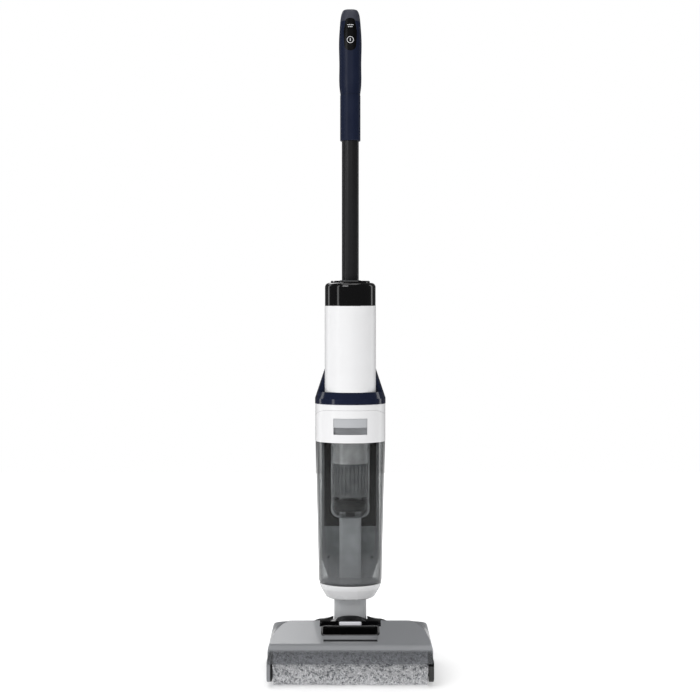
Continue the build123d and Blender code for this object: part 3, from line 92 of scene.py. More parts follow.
def studio_lights():
    """Large soft box ahead and to the left, weak strips at the sides, and a box behind the left shoulder."""
    area_light("front_box", (-1.3, -3.0, 2.2), (0, 0, 0.5), 1.6, 1.6, 35)
    area_light("left_strip", (-1.9, 0.9, 0.9), (0, 0, 0.5), 0.4, 2.0, 3)
    area_light("right_strip", (1.9, 0.9, 0.9), (0, 0, 0.5), 0.4, 2.0, 3)
    area_light("left_fill", (-2.2, -1.4, 1.1), (0, 0, 0.5), 0.4, 2.2, 4.5)
    area_light("top_box", (0, -0.2, 2.8), (0, 0, 0), 1.8, 1.8, 14)
    area_light("rear_box", (-0.8, 2.4, 2.3), (0, 0, 0.1), 1.4, 0.8, 11)


def linear(hex_colour):
    """sRGB hex to the linear colour that a shader takes."""
    made = []
    for start in (1, 3, 5):
        c = int(hex_colour[start:start + 2], 16) / 255
        made.append(c / 12.92 if c <= 0.04045 else ((c + 0.055) / 1.055) ** 2.4)
    return (*made, 1.0)


def toned(colour, share):
    """Linear colour made darker or lighter, with its alpha left at 1."""
    return tuple(min(1, c * share) for c in colour[:3]) + (1,)


def add(tree, kind, inputs=None, **settings):
    """New shader node with its settings; inputs are values or sockets to link."""
    made = tree.nodes.new(kind)
    for name, value in settings.items():
        setattr(made, name, value)
    for key, value in (inputs or {}).items():
        if isinstance(value, bpy.types.NodeSocket):
            tree.links.new(value, made.inputs[key])
        else:
            made.inputs[key].default_value = value
    return made


def new_material(name):
    """Material with its surface shader, its tree and the point being shaded."""
    material = bpy.data.materials.new(name)
    material.use_nodes = True
    tree = material.node_tree
    shader = tree.nodes["Principled BSDF"]
    place = add(tree, "ShaderNodeTexCoord").outputs["Object"]
    return material, tree, shader, place


def stops(ramp, *pairs):
    """Sets a colour ramp's stops from (position, colour) pairs."""
    band = ramp.color_ramp
    while len(band.elements) > 1:
        band.elements.remove(band.elements[-1])
    band.elements[0].position, band.elements[0].color = pairs[0]
    for position, colour in pairs[1:]:
        band.elements.new(position).color = colour


FLOOR_HALF = 3.2
ROOM_FILL = 0.52            # how bright the room is as a light on the object
ROOM_DIM = 0.07             # how bright it is in the object's reflections
PAPER_LIFT = 0.30           # light through the backlit paper
PAPER_NEAR, PAPER_FAR = 0.35, 1.5    # the paper brightens to pure white between these distances


def lay_floor():
    """Sheet of backlit white paper under the object."""
    mesh = bpy.data.meshes.new("studio_floor")
    bm = bmesh.new()
    bmesh.ops.create_grid(bm, x_segments=1, y_segments=1, size=FLOOR_HALF)
    bm.to_mesh(mesh)
    bm.free()
    floor = bpy.data.objects.new("studio_floor", mesh)
    bpy.context.scene.collection.objects.link(floor)
    material, tree, shader, place = new_material("matt_backlit_paper")
    grain = add(tree, "ShaderNodeTexNoise", {"Vector": place, "Scale": 1 / (1.1 * MM), "Detail": 2.0})
    shader.inputs["Base Color"].default_value = linear("#FAFAFA")
    shader.inputs["Roughness"].default_value = 0.95
    shader.inputs["Specular IOR Level"].default_value = 0.1
    shader.inputs["Emission Color"].default_value = linear("#FFFFFF")
    away = add(tree, "ShaderNodeVectorMath", {0: place}, operation="LENGTH")
    lift = add(tree, "ShaderNodeMapRange", {
        "Value": away.outputs["Value"], "From Min": PAPER_NEAR, "From Max": PAPER_FAR,
        "To Min": PAPER_LIFT, "To Max": 1.0})
    path = add(tree, "ShaderNodeLightPath")
    fill = add(tree, "ShaderNodeMix", {
        "Factor": path.outputs["Is Diffuse Ray"], "A": ROOM_DIM, "B": ROOM_FILL})
    seen = add(tree, "ShaderNodeMix", {"Factor": path.outputs["Is Camera Ray"], "A": fill.outputs["Result"],
                                       "B": lift.outputs["Result"]})
    tree.links.new(seen.outputs["Result"], shader.inputs["Emission Strength"])
    bump = add(tree, "ShaderNodeBump", {
        "Height": grain.outputs["Fac"], "Strength": 0.02, "Distance": 0.2 * MM})
    tree.links.new(bump.outputs["Normal"], shader.inputs["Normal"])
    mesh.materials.append(material)


def fill_room():
    """White cyclorama for the eye, and a dimmer room for what the object reflects."""
    world = bpy.data.worlds.new("studio_room")
    bpy.context.scene.world = world
    world.use_nodes = True
    tree = world.node_tree
    room = tree.nodes["Background"]
    path = add(tree, "ShaderNodeLightPath")
    fill = add(tree, "ShaderNodeMix", {
        "Factor": path.outputs["Is Diffuse Ray"], "A": ROOM_DIM, "B": ROOM_FILL})
    seen = add(tree, "ShaderNodeMix", {"Factor": path.outputs["Is Camera Ray"], "A": fill.outputs["Result"],
                                       "B": 1.0})
    room.inputs["Color"].default_value = linear("#FFFFFF")
    tree.links.new(seen.outputs["Result"], room.inputs["Strength"])


lay_floor()
studio_lights()
fill_room()


# ---------------------------------------------------------------- materials
CLOUD_LOW, CLOUD_HIGH = 0.3, 0.7    # the part of a noise's range that its values mostly keep to
RESIN_DRIFT = 30 * MM       # size of the slow changes of tone in a moulded part
FLOW_SIZE = 18 * MM         # size of the flow lines in a clear wall
FLOW_SHADE = 0.94           # how dark they are
FLOW_LOW, FLOW_HIGH = 0.35, 0.65    # the part of the noise over which they fade
LONG_WAY = 2.5              # how late a clear wall darkens on its way to edge-on
GRAZE = 4.0                 # how late its gloss and milk come in
WALL_GLOSS, RIM_GLOSS = 0.022, 0.55     # mirror share of a clear wall square-on, and its gain edge-on
POLYCARBONATE_IOR = 1.58


def moulded(name, colour, roughness, grain_mm=0.5, relief_mm=0.01, drift=0.03, coat=0.0, gloss=0.5):
    """Injection-moulded plastic: even colour with a slight drift, and the grain left by the tool, drawn
    coarser than the real one so that it shows."""
    material, tree, shader, place = new_material(name)
    cloud = add(tree, "ShaderNodeTexNoise", {"Vector": place, "Scale": 1 / RESIN_DRIFT, "Detail": 3.0})
    base = linear(colour)
    tint = add(tree, "ShaderNodeValToRGB", {"Fac": cloud.outputs["Fac"]})
    stops(tint, (CLOUD_LOW, toned(base, 1 - drift)), (CLOUD_HIGH, toned(base, 1 + drift)))
    tree.links.new(tint.outputs["Color"], shader.inputs["Base Color"])
    grain = add(tree, "ShaderNodeTexNoise", {"Vector": place, "Scale": 1 / (grain_mm * MM), "Detail": 4.0})
    rough = add(tree, "ShaderNodeMapRange", {
        "Value": cloud.outputs["Fac"], "From Min": CLOUD_LOW, "From Max": CLOUD_HIGH,
        "To Min": roughness * 0.88, "To Max": roughness * 1.12})
    tree.links.new(rough.outputs["Result"], shader.inputs["Roughness"])
    bump = add(tree, "ShaderNodeBump", {
        "Height": grain.outputs["Fac"], "Strength": 0.5, "Distance": relief_mm * MM})
    tree.links.new(bump.outputs["Normal"], shader.inputs["Normal"])
    shader.inputs["Specular IOR Level"].default_value = gloss
    shader.inputs["Coat Weight"].default_value = coat
    shader.inputs["Coat Roughness"].default_value = 0.05
    return material


def clear(name, tint, haze_colour, haze=0.05, edge=0.25, haze_map=None, rim="#6A6C6F", paint=None):
    """Thin polycarbonate wall: tinted sight through it, gloss on it, and a milky share that grows where
    the wall is seen edge-on. The gloss is on outward faces only, so that the inner side of a wall doesn't
    veil what it holds. rim is the sight through it edge-on, where the light's way in the wall is
    longest. haze_map builds a socket that replaces the even share, and paint one for its colour."""
    material, tree, shader, place = new_material(name)
    flow = add(tree, "ShaderNodeTexNoise", {"Vector": place, "Scale": 1 / FLOW_SIZE, "Detail": 2.0})
    tone = add(tree, "ShaderNodeValToRGB", {"Fac": flow.outputs["Fac"]})
    base = linear(tint)
    stops(tone, (FLOW_LOW, toned(base, FLOW_SHADE)), (FLOW_HIGH, base))
    tilt = add(tree, "ShaderNodeLayerWeight", {"Blend": 0.5})
    long_way = add(tree, "ShaderNodeMath", {0: tilt.outputs["Facing"], 1: LONG_WAY}, operation="POWER")
    depth = add(tree, "ShaderNodeMix", {
        "Factor": long_way.outputs["Value"], "A": tone.outputs["Color"], "B": linear(rim)}, data_type="RGBA")
    sight = add(tree, "ShaderNodeBsdfTransparent", {"Color": depth.outputs["Result"]})
    gloss = add(tree, "ShaderNodeBsdfGlossy", {"Color": (1, 1, 1, 1), "Roughness": 0.04})
    graze = add(tree, "ShaderNodeMath", {0: tilt.outputs["Facing"], 1: GRAZE}, operation="POWER")
    sheen = add(tree, "ShaderNodeMath", {
        0: graze.outputs["Value"], 1: RIM_GLOSS, 2: WALL_GLOSS}, operation="MULTIPLY_ADD")
    inner = add(tree, "ShaderNodeNewGeometry").outputs["Backfacing"]
    outer = add(tree, "ShaderNodeMath", {0: 1.0, 1: inner}, operation="SUBTRACT")
    mirror = add(tree, "ShaderNodeMath", {
        0: sheen.outputs["Value"], 1: outer.outputs["Value"]}, operation="MULTIPLY")
    wall = add(tree, "ShaderNodeMixShader", {0: mirror.outputs["Value"], 1: sight.outputs["BSDF"],
                                             2: gloss.outputs["BSDF"]})
    shader.inputs["Base Color"].default_value = linear(haze_colour)
    if paint:
        tree.links.new(paint(tree, place, haze_colour), shader.inputs["Base Color"])
    shader.inputs["Roughness"].default_value = 0.22
    shader.inputs["IOR"].default_value = POLYCARBONATE_IOR
    share = haze_map(tree, place) if haze_map else haze
    milk = add(tree, "ShaderNodeMath", {
        0: graze.outputs["Value"], 1: edge, 2: share}, operation="MULTIPLY_ADD")
    both = add(tree, "ShaderNodeMixShader", {0: milk.outputs["Value"], 1: wall.outputs["Shader"],
                                             2: shader.outputs["BSDF"]})
    output = tree.nodes["Material Output"]
    tree.links.new(both.outputs["Shader"], output.inputs["Surface"])
    return material


def step_along(tree, place, axis, start, end, low, high):
    """Number that runs from low to high between two heights (or depths) of the object."""
    parts = add(tree, "ShaderNodeSeparateXYZ", {"Vector": place})
    return add(tree, "ShaderNodeMapRange", {
        "Value": parts.outputs[axis], "From Min": start, "From Max": end,
        "To Min": low, "To Max": high}).outputs["Result"]


def inside_box(tree, place, low, high):
    """1 between two corners of the object."""
    parts = add(tree, "ShaderNodeSeparateXYZ", {"Vector": place})
    inside = None
    for axis, a, b in zip("XYZ", low, high):
        away = add(tree, "ShaderNodeMath", {0: parts.outputs[axis], 1: (a + b) / 2}, operation="SUBTRACT")
        span = add(tree, "ShaderNodeMath", {0: away.outputs["Value"]}, operation="ABSOLUTE")
        near = add(tree, "ShaderNodeMath", {0: span.outputs["Value"], 1: (b - a) / 2}, operation="LESS_THAN")
        if inside is not None:
            near = add(tree, "ShaderNodeMath", {0: inside, 1: near.outputs["Value"]}, operation="MULTIPLY")
        inside = near.outputs["Value"]
    return inside


LIP_TOP, DECK_START = 0.058, 0.062     # heights between which the cover's front lip turns into its deck
LIP_MILK, DECK_MILK = 0.08, 0.44
TANK_MILK = 0.26            # milky share of the tank at its foot
TANK_FOOT, TANK_CLEAR = 0.150, 0.205   # heights between which it fades out
# the cover's pull bar, and the groove in front of it, painted black as the shadow under the bar
BAR_LOW, BAR_HIGH = (-0.0432, -0.0864, 0.066), (0.0432, -0.0716, 0.09)
GROOVE_SHADOW_LOW, GROOVE_SHADOW_HIGH = (-0.0434, -0.0900, 0.066), (0.0434, -0.0864, 0.09)


def cover_milk(tree, place):
    """Milky share of the roller cover: low down its front lip, high over the deck, full on the bar and on the
    groove's painted shadow.
    """
    share = step_along(tree, place, "Z", LIP_TOP, DECK_START, LIP_MILK, DECK_MILK)
    for low, high in ((BAR_LOW, BAR_HIGH), (GROOVE_SHADOW_LOW, GROOVE_SHADOW_HIGH)):
        inside = inside_box(tree, place, low, high)
        share = add(tree, "ShaderNodeMath", {0: share, 1: inside}, operation="MAXIMUM").outputs["Value"]
    return share


def cover_paint(tree, place, plain):
    """Grey bar, and black painted shadow in the groove in front of it."""
    shade = add(tree, "ShaderNodeMix", {
        "Factor": inside_box(tree, place, BAR_LOW, BAR_HIGH), "A": linear(plain), "B": linear("#77797C")},
        data_type="RGBA")
    # painted shadow: black in the groove under the bar
    return add(tree, "ShaderNodeMix", {
        "Factor": inside_box(tree, place, GROOVE_SHADOW_LOW, GROOVE_SHADOW_HIGH), "A": shade.outputs["Result"],
        "B": linear("#0E0E0F")}, data_type="RGBA").outputs["Result"]


def metal(name, colour, roughness, stretch, grain_mm=0.4, metallic=1.0):
    """Metal with fine lines, close together along an axis of large stretch, or an even grain if all three
    are alike. A metallic of 0 is a lacquer over metal."""
    material, tree, shader, place = new_material(name)
    lined = add(tree, "ShaderNodeMapping", {"Vector": place, "Scale": stretch})
    grain = add(tree, "ShaderNodeTexNoise", {
        "Vector": lined.outputs["Vector"], "Scale": 1 / (grain_mm * MM), "Detail": 3.0})
    shader.inputs["Metallic"].default_value = metallic
    tint = add(tree, "ShaderNodeValToRGB", {"Fac": grain.outputs["Fac"]})
    base = linear(colour)
    stops(tint, (CLOUD_LOW, toned(base, 0.9)), (CLOUD_HIGH, base))
    tree.links.new(tint.outputs["Color"], shader.inputs["Base Color"])
    rough = add(tree, "ShaderNodeMapRange", {
        "Value": grain.outputs["Fac"], "From Min": CLOUD_LOW, "From Max": CLOUD_HIGH,
        "To Min": roughness * 0.8, "To Max": roughness * 1.25})
    tree.links.new(rough.outputs["Result"], shader.inputs["Roughness"])
    bump = add(tree, "ShaderNodeBump", {
        "Height": grain.outputs["Fac"], "Strength": 0.15, "Distance": 0.02 * MM})
    tree.links.new(bump.outputs["Normal"], shader.inputs["Normal"])
    return material


# glossy ABS shell parts: crisp soft-box reflections on white
white_abs = moulded("white_gloss_abs", "#E9E9EA", 0.24, grain_mm=1.6, relief_mm=0.004, drift=0.01)
# the lower cup is the same resin, a touch lighter and less polished
cup_abs = moulded("pale_grey_gloss_abs", "#EBEBEC", 0.28, grain_mm=1.6, relief_mm=0.004, drift=0.01)
# high-gloss navy shoulder and spine
navy_gloss = moulded("navy_gloss_abs", "#161D33", 0.13, grain_mm=2.0, relief_mm=0.004, drift=0.05, coat=0.4)
# handle mouldings: satin navy with the tool's fine spark grain
navy_satin = moulded("navy_satin_abs", "#171E33", 0.38, grain_mm=0.35, relief_mm=0.03, drift=0.06, gloss=0.16)
# dark grey tip of the handle
tip_satin = moulded("charcoal_satin_abs", "#383A46", 0.48, grain_mm=0.35, relief_mm=0.03, drift=0.12,
                    gloss=0.4)
# cap, display window, finger pocket and right cheek: piano black, with sharp reflections
piano_black = moulded("piano_black_abs", "#0B0B0C", 0.10, grain_mm=2.5, relief_mm=0.003, drift=0.05, coat=0.5)
# panel and buttons of the grip: black with a soft sheen, so that the printed marks read
panel_black = moulded("button_panel_black_abs", "#0A0A0C", 0.30, grain_mm=0.6, relief_mm=0.01, drift=0.08,
                      gloss=0.14)
# chassis, wheel hubs, belt plate and inner mouldings: black that neither shines nor looks dead
black_satin = moulded("black_satin_polypropylene", "#17181A", 0.45, grain_mm=0.4, relief_mm=0.03, drift=0.08)
# panel behind the tank: dark, almost dead matt
bay_black = moulded("bay_matt_black_abs", "#0E0E0F", 0.75, grain_mm=0.5, relief_mm=0.02, drift=0.05,
                    gloss=0.1)
# three greys of satin ABS with broad soft highlights: neck, belt cover, the tank's release plate
neck_satin = moulded("grey_satin_abs", "#C6C8CA", 0.38, grain_mm=0.5, relief_mm=0.02, drift=0.02)
cheek_grey = moulded("warm_grey_satin_abs", "#818386", 0.42, grain_mm=0.5, relief_mm=0.02, drift=0.03)
plate_grey = moulded("light_grey_satin_abs", "#B4B6B9", 0.35, grain_mm=0.5, relief_mm=0.02, drift=0.02)
# the bar that frees the cover: a cold white that stands out from the black round it
release_white = moulded("release_white_abs", "#EDEDF3", 0.25, grain_mm=1.2, relief_mm=0.004, drift=0.01)
# filter cloth: dull grey, rough to the eye
filter_grey = moulded("filter_polyester", "#7E8082", 0.85, grain_mm=0.6, relief_mm=0.25, drift=0.15)
# rubber: dull black blade, belt, stops and filler cap, and soft tyres in dark grey
black_rubber = moulded("black_nitrile_rubber", "#141415", 0.70, grain_mm=0.3, relief_mm=0.06, drift=0.08)
tyre_rubber = moulded("grey_soft_tyre", "#3C3D40", 0.75, grain_mm=0.5, relief_mm=0.08, drift=0.08)
# inner parts: the roller's pale tube, the circuit board's green lacquer, the battery's blue film
core_plastic = moulded("roller_core_abs", "#B9BBBD", 0.45, grain_mm=0.5, relief_mm=0.02, drift=0.03)
board_green = moulded("solder_mask_green", "#17472F", 0.30, grain_mm=0.8, relief_mm=0.02, drift=0.10)
pack_blue = moulded("battery_heat_shrink", "#25457A", 0.32, grain_mm=3.0, relief_mm=0.10, drift=0.05)

def tank_milk(tree, place):
    """Milky share of the dirty water tank: at its foot, gone higher up."""
    return step_along(tree, place, "Z", TANK_FOOT, TANK_CLEAR, TANK_MILK, 0.0)


# polycarbonate: clear where the tank is seen square-on, with a dark smoky edge
tank_smoke = clear("smoked_polycarbonate_tank", "#F1F2F2", "#9A9C9F", edge=0.08, rim="#4A4B4D",
                   haze_map=tank_milk)
# the cover is milky over the deck and clear down its front lip, where the roller shows
cover_smoke = clear("smoked_polycarbonate_cover", "#E2E3E5", "#B9BBBE", edge=0.25, haze_map=cover_milk,
                    rim="#8A8C8F", paint=cover_paint)
# the cage round the float is clear with pale edges, and the pipe behind it half milky all over
cage_smoke = clear("clear_polycarbonate_cage", "#F8F8F8", "#D5D7DA", haze=0.0, edge=0.9, rim="#C0C2C4")
pipe_smoke = clear("clear_polycarbonate_pipe", "#DDDFE1", "#D9DBDE", haze=0.50, edge=0.45, rim="#9C9EA0")
# the clean water tank is clear with a cold tint
water_clear = clear("clear_polycarbonate_water_tank", "#DCE2E7", "#BFC6CC", haze=0.06, edge=0.35)

# satin chrome round the filter, with fine lines that run round it
collar_plate = metal("satin_chromed_collar", "#F6F6F7", 0.30, (1, 1, 12), metallic=0.6)
# bare metals: dull zinc on steel, warm brass, pale aluminium
steel = metal("zinc_plated_steel", "#B4B6B8", 0.35, (1, 1, 1))
brass = metal("turned_brass", "#B5904A", 0.30, (8, 1, 1))
fan_metal = metal("machined_aluminium", "#B9BBBE", 0.30, (1, 1, 1))
# the handle tube's steel is under black lacquer, so that it shines as a plastic does
tube_lacquer = metal("black_lacquered_tube", "#1B1B1D", 0.30, (8, 8, 1), grain_mm=0.3, metallic=0.0)


FINISH = {
    white_abs: "sleeve upper_band tank_head",
    cup_abs: "lower_cup",
    navy_gloss: "shroud",
    navy_satin: "grip_front grip_rear grip_collar",
    tip_satin: "grip_cap",
    piano_black: "top_cap display_lens cover_grip_pocket cheek_right",
    panel_black: "button_bezel power_button mode_button",
    black_satin: "head_base cheek_left spray_bar suction_duct drive_pulley water_pump motor_case "
                 "wheel_hub_left wheel_hub_right float_ball",
    bay_black: "bay_panel",
    neck_satin: "neck_yoke",
    cheek_grey: "belt_cover",
    plate_grey: "tank_latch",
    release_white: "cover_release",
    filter_grey: "filter_element",
    black_rubber: "squeegee_blade drive_belt bay_stops fill_cap",
    tyre_rubber: "tyre_left tyre_right",
    core_plastic: "roller_core",
    board_green: "control_board",
    pack_blue: "battery_pack",
    tank_smoke: "dirty_tank_shell",
    cover_smoke: "roller_cover",
    cage_smoke: "float_cage",
    pipe_smoke: "inlet_pipe",
    water_clear: "clean_tank_shell",
    collar_plate: "filter_collar",
    steel: "head_screws wheel_axles pivot_pins swivel_retainer charge_contacts brush_motor motor_stator",
    brass: "motor_pulley",
    fan_metal: "fan_impeller",
    tube_lacquer: "handle_tube",
}


def two_shot(name, first, second, first_rough, second_rough, mask):
    """Part moulded in two colours: mask(tree, place) is 1 on the second."""
    material, tree, shader, place = new_material(name)
    inside = mask(tree, place)
    tint = add(tree, "ShaderNodeMix", {
        "Factor": inside, "A": linear(first), "B": linear(second)}, data_type="RGBA")
    tree.links.new(tint.outputs["Result"], shader.inputs["Base Color"])
    rough = add(tree, "ShaderNodeMapRange", {"Value": inside, "To Min": first_rough, "To Max": second_rough})
    tree.links.new(rough.outputs["Result"], shader.inputs["Roughness"])
    grain = add(tree, "ShaderNodeTexNoise", {"Vector": place, "Scale": 1 / (0.6 * MM), "Detail": 3.0})
    bump = add(tree, "ShaderNodeBump", {
        "Height": grain.outputs["Fac"], "Strength": 0.3, "Distance": 0.01 * MM})
    tree.links.new(bump.outputs["Normal"], shader.inputs["Normal"])
    return material


HUMP_HALF_X, HUMP_HALF_Y = 0.0625, 0.0503   # of the oval that is black round the neck
HUMP_CENTRE_Y = 0.0363
NOTCH_HALF = 0.0505         # of the notch for the release bar
NOTCH_FRONT_Y, NOTCH_BACK_Y = -0.040, -0.0125
LATCH_MARGIN = 2.0 * MM     # painted shade: the grey on the pocket's walls runs this far past the release plate
POCKET_SHADE_DROP = 14 * MM       # and this far below it
POCKET_SHADE_DEPTH = 30 * MM
FRONT_SKIN = 1.0 * MM       # the tank head's white outside keeps this thickness
BAY_SKIN = 0.4 * MM         # thickness of the bare resin on the spine's tank side
SPARE = 0.01                # how far a mask runs past the piece that it marks


def within_hump(tree, place):
    """1 inside the hump's oval, and in the notch in front of it."""
    centred = add(tree, "ShaderNodeMapping", {
        "Vector": place, "Location": (0, -HUMP_CENTRE_Y / HUMP_HALF_Y, 0),
        "Scale": (1 / HUMP_HALF_X, 1 / HUMP_HALF_Y, 0)})
    reach = add(tree, "ShaderNodeVectorMath", {0: centred.outputs["Vector"]}, operation="LENGTH")
    oval = add(tree, "ShaderNodeMath", {0: reach.outputs["Value"], 1: 1.0}, operation="LESS_THAN")
    notch = inside_box(tree, place, (-NOTCH_HALF, NOTCH_FRONT_Y, 0), (NOTCH_HALF, NOTCH_BACK_Y, 1))
    either = add(tree, "ShaderNodeMath", {0: oval.outputs["Value"], 1: notch}, operation="MAXIMUM")
    return either.outputs["Value"]


def pocket_shade_mask(tree, place):
    """1 on the walls of the pocket behind the tank head's window, where grey is painted in as shade."""
    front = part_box("tank_head")[0].y
    latch_low, latch_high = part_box("tank_latch")
    half = latch_high.x + LATCH_MARGIN
    box = inside_box(tree, place, (-half, front, latch_low.z - POCKET_SHADE_DROP),
                     (half, front + POCKET_SHADE_DEPTH, latch_high.z + LATCH_MARGIN))
    centred = add(tree, "ShaderNodeVectorMath", {0: place, 1: (0, BODY_Y, 0)}, operation="SUBTRACT")
    flat = add(tree, "ShaderNodeVectorMath", {
        0: centred.outputs["Vector"], 1: (1, 1, 0)}, operation="MULTIPLY")
    reach = add(tree, "ShaderNodeVectorMath", {0: flat.outputs["Vector"]}, operation="LENGTH")
    behind = add(tree, "ShaderNodeMath", {
        0: reach.outputs["Value"], 1: BODY_Y - front - FRONT_SKIN}, operation="LESS_THAN")
    pocket_shade = add(tree, "ShaderNodeMath", {0: box, 1: behind.outputs["Value"]}, operation="MULTIPLY")
    return pocket_shade.outputs["Value"]


def tank_bay(tree, place):
    """1 on the face that the dirty water tank stands against."""
    low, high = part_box("spine_housing")
    return inside_box(tree, place, (-1, low.y - SPARE, low.z - SPARE),
                      (1, low.y + BAY_SKIN, high.z + SPARE))


def paint_nodes():
    """Every CAD node gets its finish."""
    table = {node: material for material, names in FINISH.items() for node in names.split()}
    # deck and hump: one satin grey, one piano black
    table["head_top_shell"] = two_shot("head_shell_two_shot_abs", "#8B8D90", "#0C0C0E", 0.36, 0.12,
                                       within_hump)
    # white head of the tank, with grey painted as shade on the walls of its finger pocket
    table["tank_head"] = two_shot("tank_head_abs", "#E9E9EA", "#ACAEB1", 0.24, 0.35, pocket_shade_mask)
    # navy spine whose tank side is bare grey resin
    table["spine_housing"] = two_shot("spine_two_shot_abs", "#161D33", "#B2B4B7", 0.14, 0.30, tank_bay)
    for node, made in NODES.items():
        if node in table:
            made.data.materials.clear()
            made.data.materials.append(table[node])


paint_nodes()


# ---------------------------------------------------------------- mesh pieces
def finish_piece(bm, name, body, material, smooth=True):
    """Writes a bmesh to an object that rides on its body."""
    mesh = bpy.data.meshes.new(name)
    for face in bm.faces:
        face.smooth = smooth
    bm.to_mesh(mesh)
    bm.free()
    made = bpy.data.objects.new(name, mesh)
    bpy.context.scene.collection.objects.link(made)
    mesh.materials.append(material)
    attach(made, body)
    return made


# ---------------------------------------------------------------- roller pile
# a tuft stands for a bundle of fibres, much coarser than a real one, so that the pile shows
TUFT_PITCH = 1.75 * MM
TUFT_LENGTH = 3.6 * MM
SHORTEST_TUFT = 0.62        # of the full length
BED_DEPTH = 2.4 * MM        # from the pile's outside down to where the tufts grow
ROOT_STRAY = 0.35           # of the pitch, how far a root stands off its place
TIP_RISE, TIP_LEAN = 0.72, 0.62     # of a tuft's length, outwards and along its lean
TIP_SIZE = 0.42             # of its root
SWIRL, TWIST, CLUMP = 9 * MM, 3.2 * MM, 4.5 * MM    # sizes of the lean's waves and of the shade's clumps
SWIRL_LEAN, TWIST_LEAN = 0.9, 0.6
CLUMP_SHADE, FIBRE_SHADE = 0.55, 0.42   # how far a clump and a single tuft stray from the middle tone


def pile_material():
    """Polyester plush: pale and grey fibres twisted together, with painted shade darkening each tuft towards
    its root.
    """
    material, tree, shader, place = new_material("twisted_polyester_plush")
    shade = add(tree, "ShaderNodeAttribute", attribute_name="fibre_shade").outputs["Fac"]
    height = add(tree, "ShaderNodeAttribute", attribute_name="fibre_height").outputs["Fac"]
    fibre = add(tree, "ShaderNodeValToRGB", {"Fac": shade})
    stops(fibre, (0.0, linear("#6E7074")), (0.20, linear("#94969A")), (0.34, linear("#C0C1C4")),
          (0.75, linear("#E4E4E6")))
    # painted shade: each tuft darkens towards its root, where the pile would shade itself
    root = add(tree, "ShaderNodeValToRGB", {"Fac": height})
    stops(root, (0.0, linear("#6A6B6D")), (0.75, linear("#FFFFFF")))
    blend = add(tree, "ShaderNodeMix", {
        "Factor": 1.0, "A": fibre.outputs["Color"], "B": root.outputs["Color"]},
        data_type="RGBA", blend_type="MULTIPLY")
    tree.links.new(blend.outputs["Result"], shader.inputs["Base Color"])
    shader.inputs["Roughness"].default_value = 0.9
    shader.inputs["Sheen Weight"].default_value = 0.35
    shader.inputs["Sheen Roughness"].default_value = 0.5
    strands = add(tree, "ShaderNodeTexNoise", {"Vector": place, "Scale": 1 / (0.5 * MM), "Detail": 3.0})
    bump = add(tree, "ShaderNodeBump", {
        "Height": strands.outputs["Fac"], "Strength": 0.6, "Distance": 0.3 * MM})
    tree.links.new(bump.outputs["Normal"], shader.inputs["Normal"])
    return material


def roller_plush():
    """Nap of the roller: a sleeve whose faces are drawn out into leaning tufts."""
    rng = random.Random(11)
    low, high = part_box("roller_pile")
    middle = (low + high) / 2
    radius = (high.z - low.z) / 2
    bed = radius - BED_DEPTH
    along = round((high.x - low.x) / TUFT_PITCH)
    around = round(2 * pi * radius / TUFT_PITCH)
    bm = bmesh.new()
    first = bm.verts.new((low.x, middle.y, middle.z + bed))
    last = bm.verts.new((high.x, middle.y, middle.z + bed))
    line = bm.edges.new((first, last))
    bmesh.ops.subdivide_edges(bm, edges=[line], cuts=along - 1)
    bmesh.ops.spin(bm, geom=bm.verts[:] + bm.edges[:], cent=middle, axis=(1, 0, 0), angle=2 * pi,
                   steps=around, use_merge=True)
    bmesh.ops.remove_doubles(bm, verts=bm.verts, dist=0.1 * MM)
    bmesh.ops.recalc_face_normals(bm, faces=bm.faces)
    for vert in bm.verts:
        spoke = Vector((0, vert.co.y - middle.y, vert.co.z - middle.z)).normalized()
        across = spoke.cross(Vector((1, 0, 0)))
        inner = low.x + TUFT_PITCH < vert.co.x < high.x - TUFT_PITCH
        if inner:
            vert.co += Vector((rng.uniform(-ROOT_STRAY, ROOT_STRAY), 0, 0)) * TUFT_PITCH
        vert.co += across * rng.uniform(-ROOT_STRAY, ROOT_STRAY) * TUFT_PITCH
    shade = bm.verts.layers.float.new("fibre_shade")
    height = bm.verts.layers.float.new("fibre_height")
    faces = bm.faces[:]
    drawn = bmesh.ops.extrude_discrete_faces(bm, faces=faces)["faces"]
    for face in drawn:
        centre = face.calc_center_median()
        spoke = Vector((0, centre.y - middle.y, centre.z - middle.z)).normalized()
        across = spoke.cross(Vector((1, 0, 0)))
        swirl = noise.noise_vector(centre / SWIRL)
        fine = noise.noise_vector(centre / TWIST)
        lean = across * (SWIRL_LEAN * swirl.x + TWIST_LEAN * fine.x)
        lean += Vector((1, 0, 0)) * (SWIRL_LEAN * swirl.y + TWIST_LEAN * fine.y)
        length = TUFT_LENGTH * rng.uniform(SHORTEST_TUFT, 1.0)
        tip = centre + spoke * length * TIP_RISE + lean * length * TIP_LEAN
        clump = noise.noise(centre / CLUMP)
        tone = min(1, max(0, 0.5 + CLUMP_SHADE * clump + rng.uniform(-FIBRE_SHADE, FIBRE_SHADE)))
        for vert in face.verts:
            vert.co = tip + (vert.co - centre) * TIP_SIZE
            out = Vector((0, vert.co.y - middle.y, vert.co.z - middle.z))
            if out.length > radius:
                vert.co -= out.normalized() * (out.length - radius)
            vert[shade] = tone
            vert[height] = 1.0
        for corner in face.loops:
            below = corner.link_loop_radial_next
            for vert in below.face.verts:
                if vert[height] == 0:
                    vert[shade] = tone
    caps = [e for e in bm.edges if e.is_boundary]
    bmesh.ops.holes_fill(bm, edges=caps)
    made = finish_piece(bm, "roller_plush", "roller", pile_material())
    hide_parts("roller_pile")


roller_plush()


# ---------------------------------------------------------------- printed marks and trim
RING_STEPS = 48


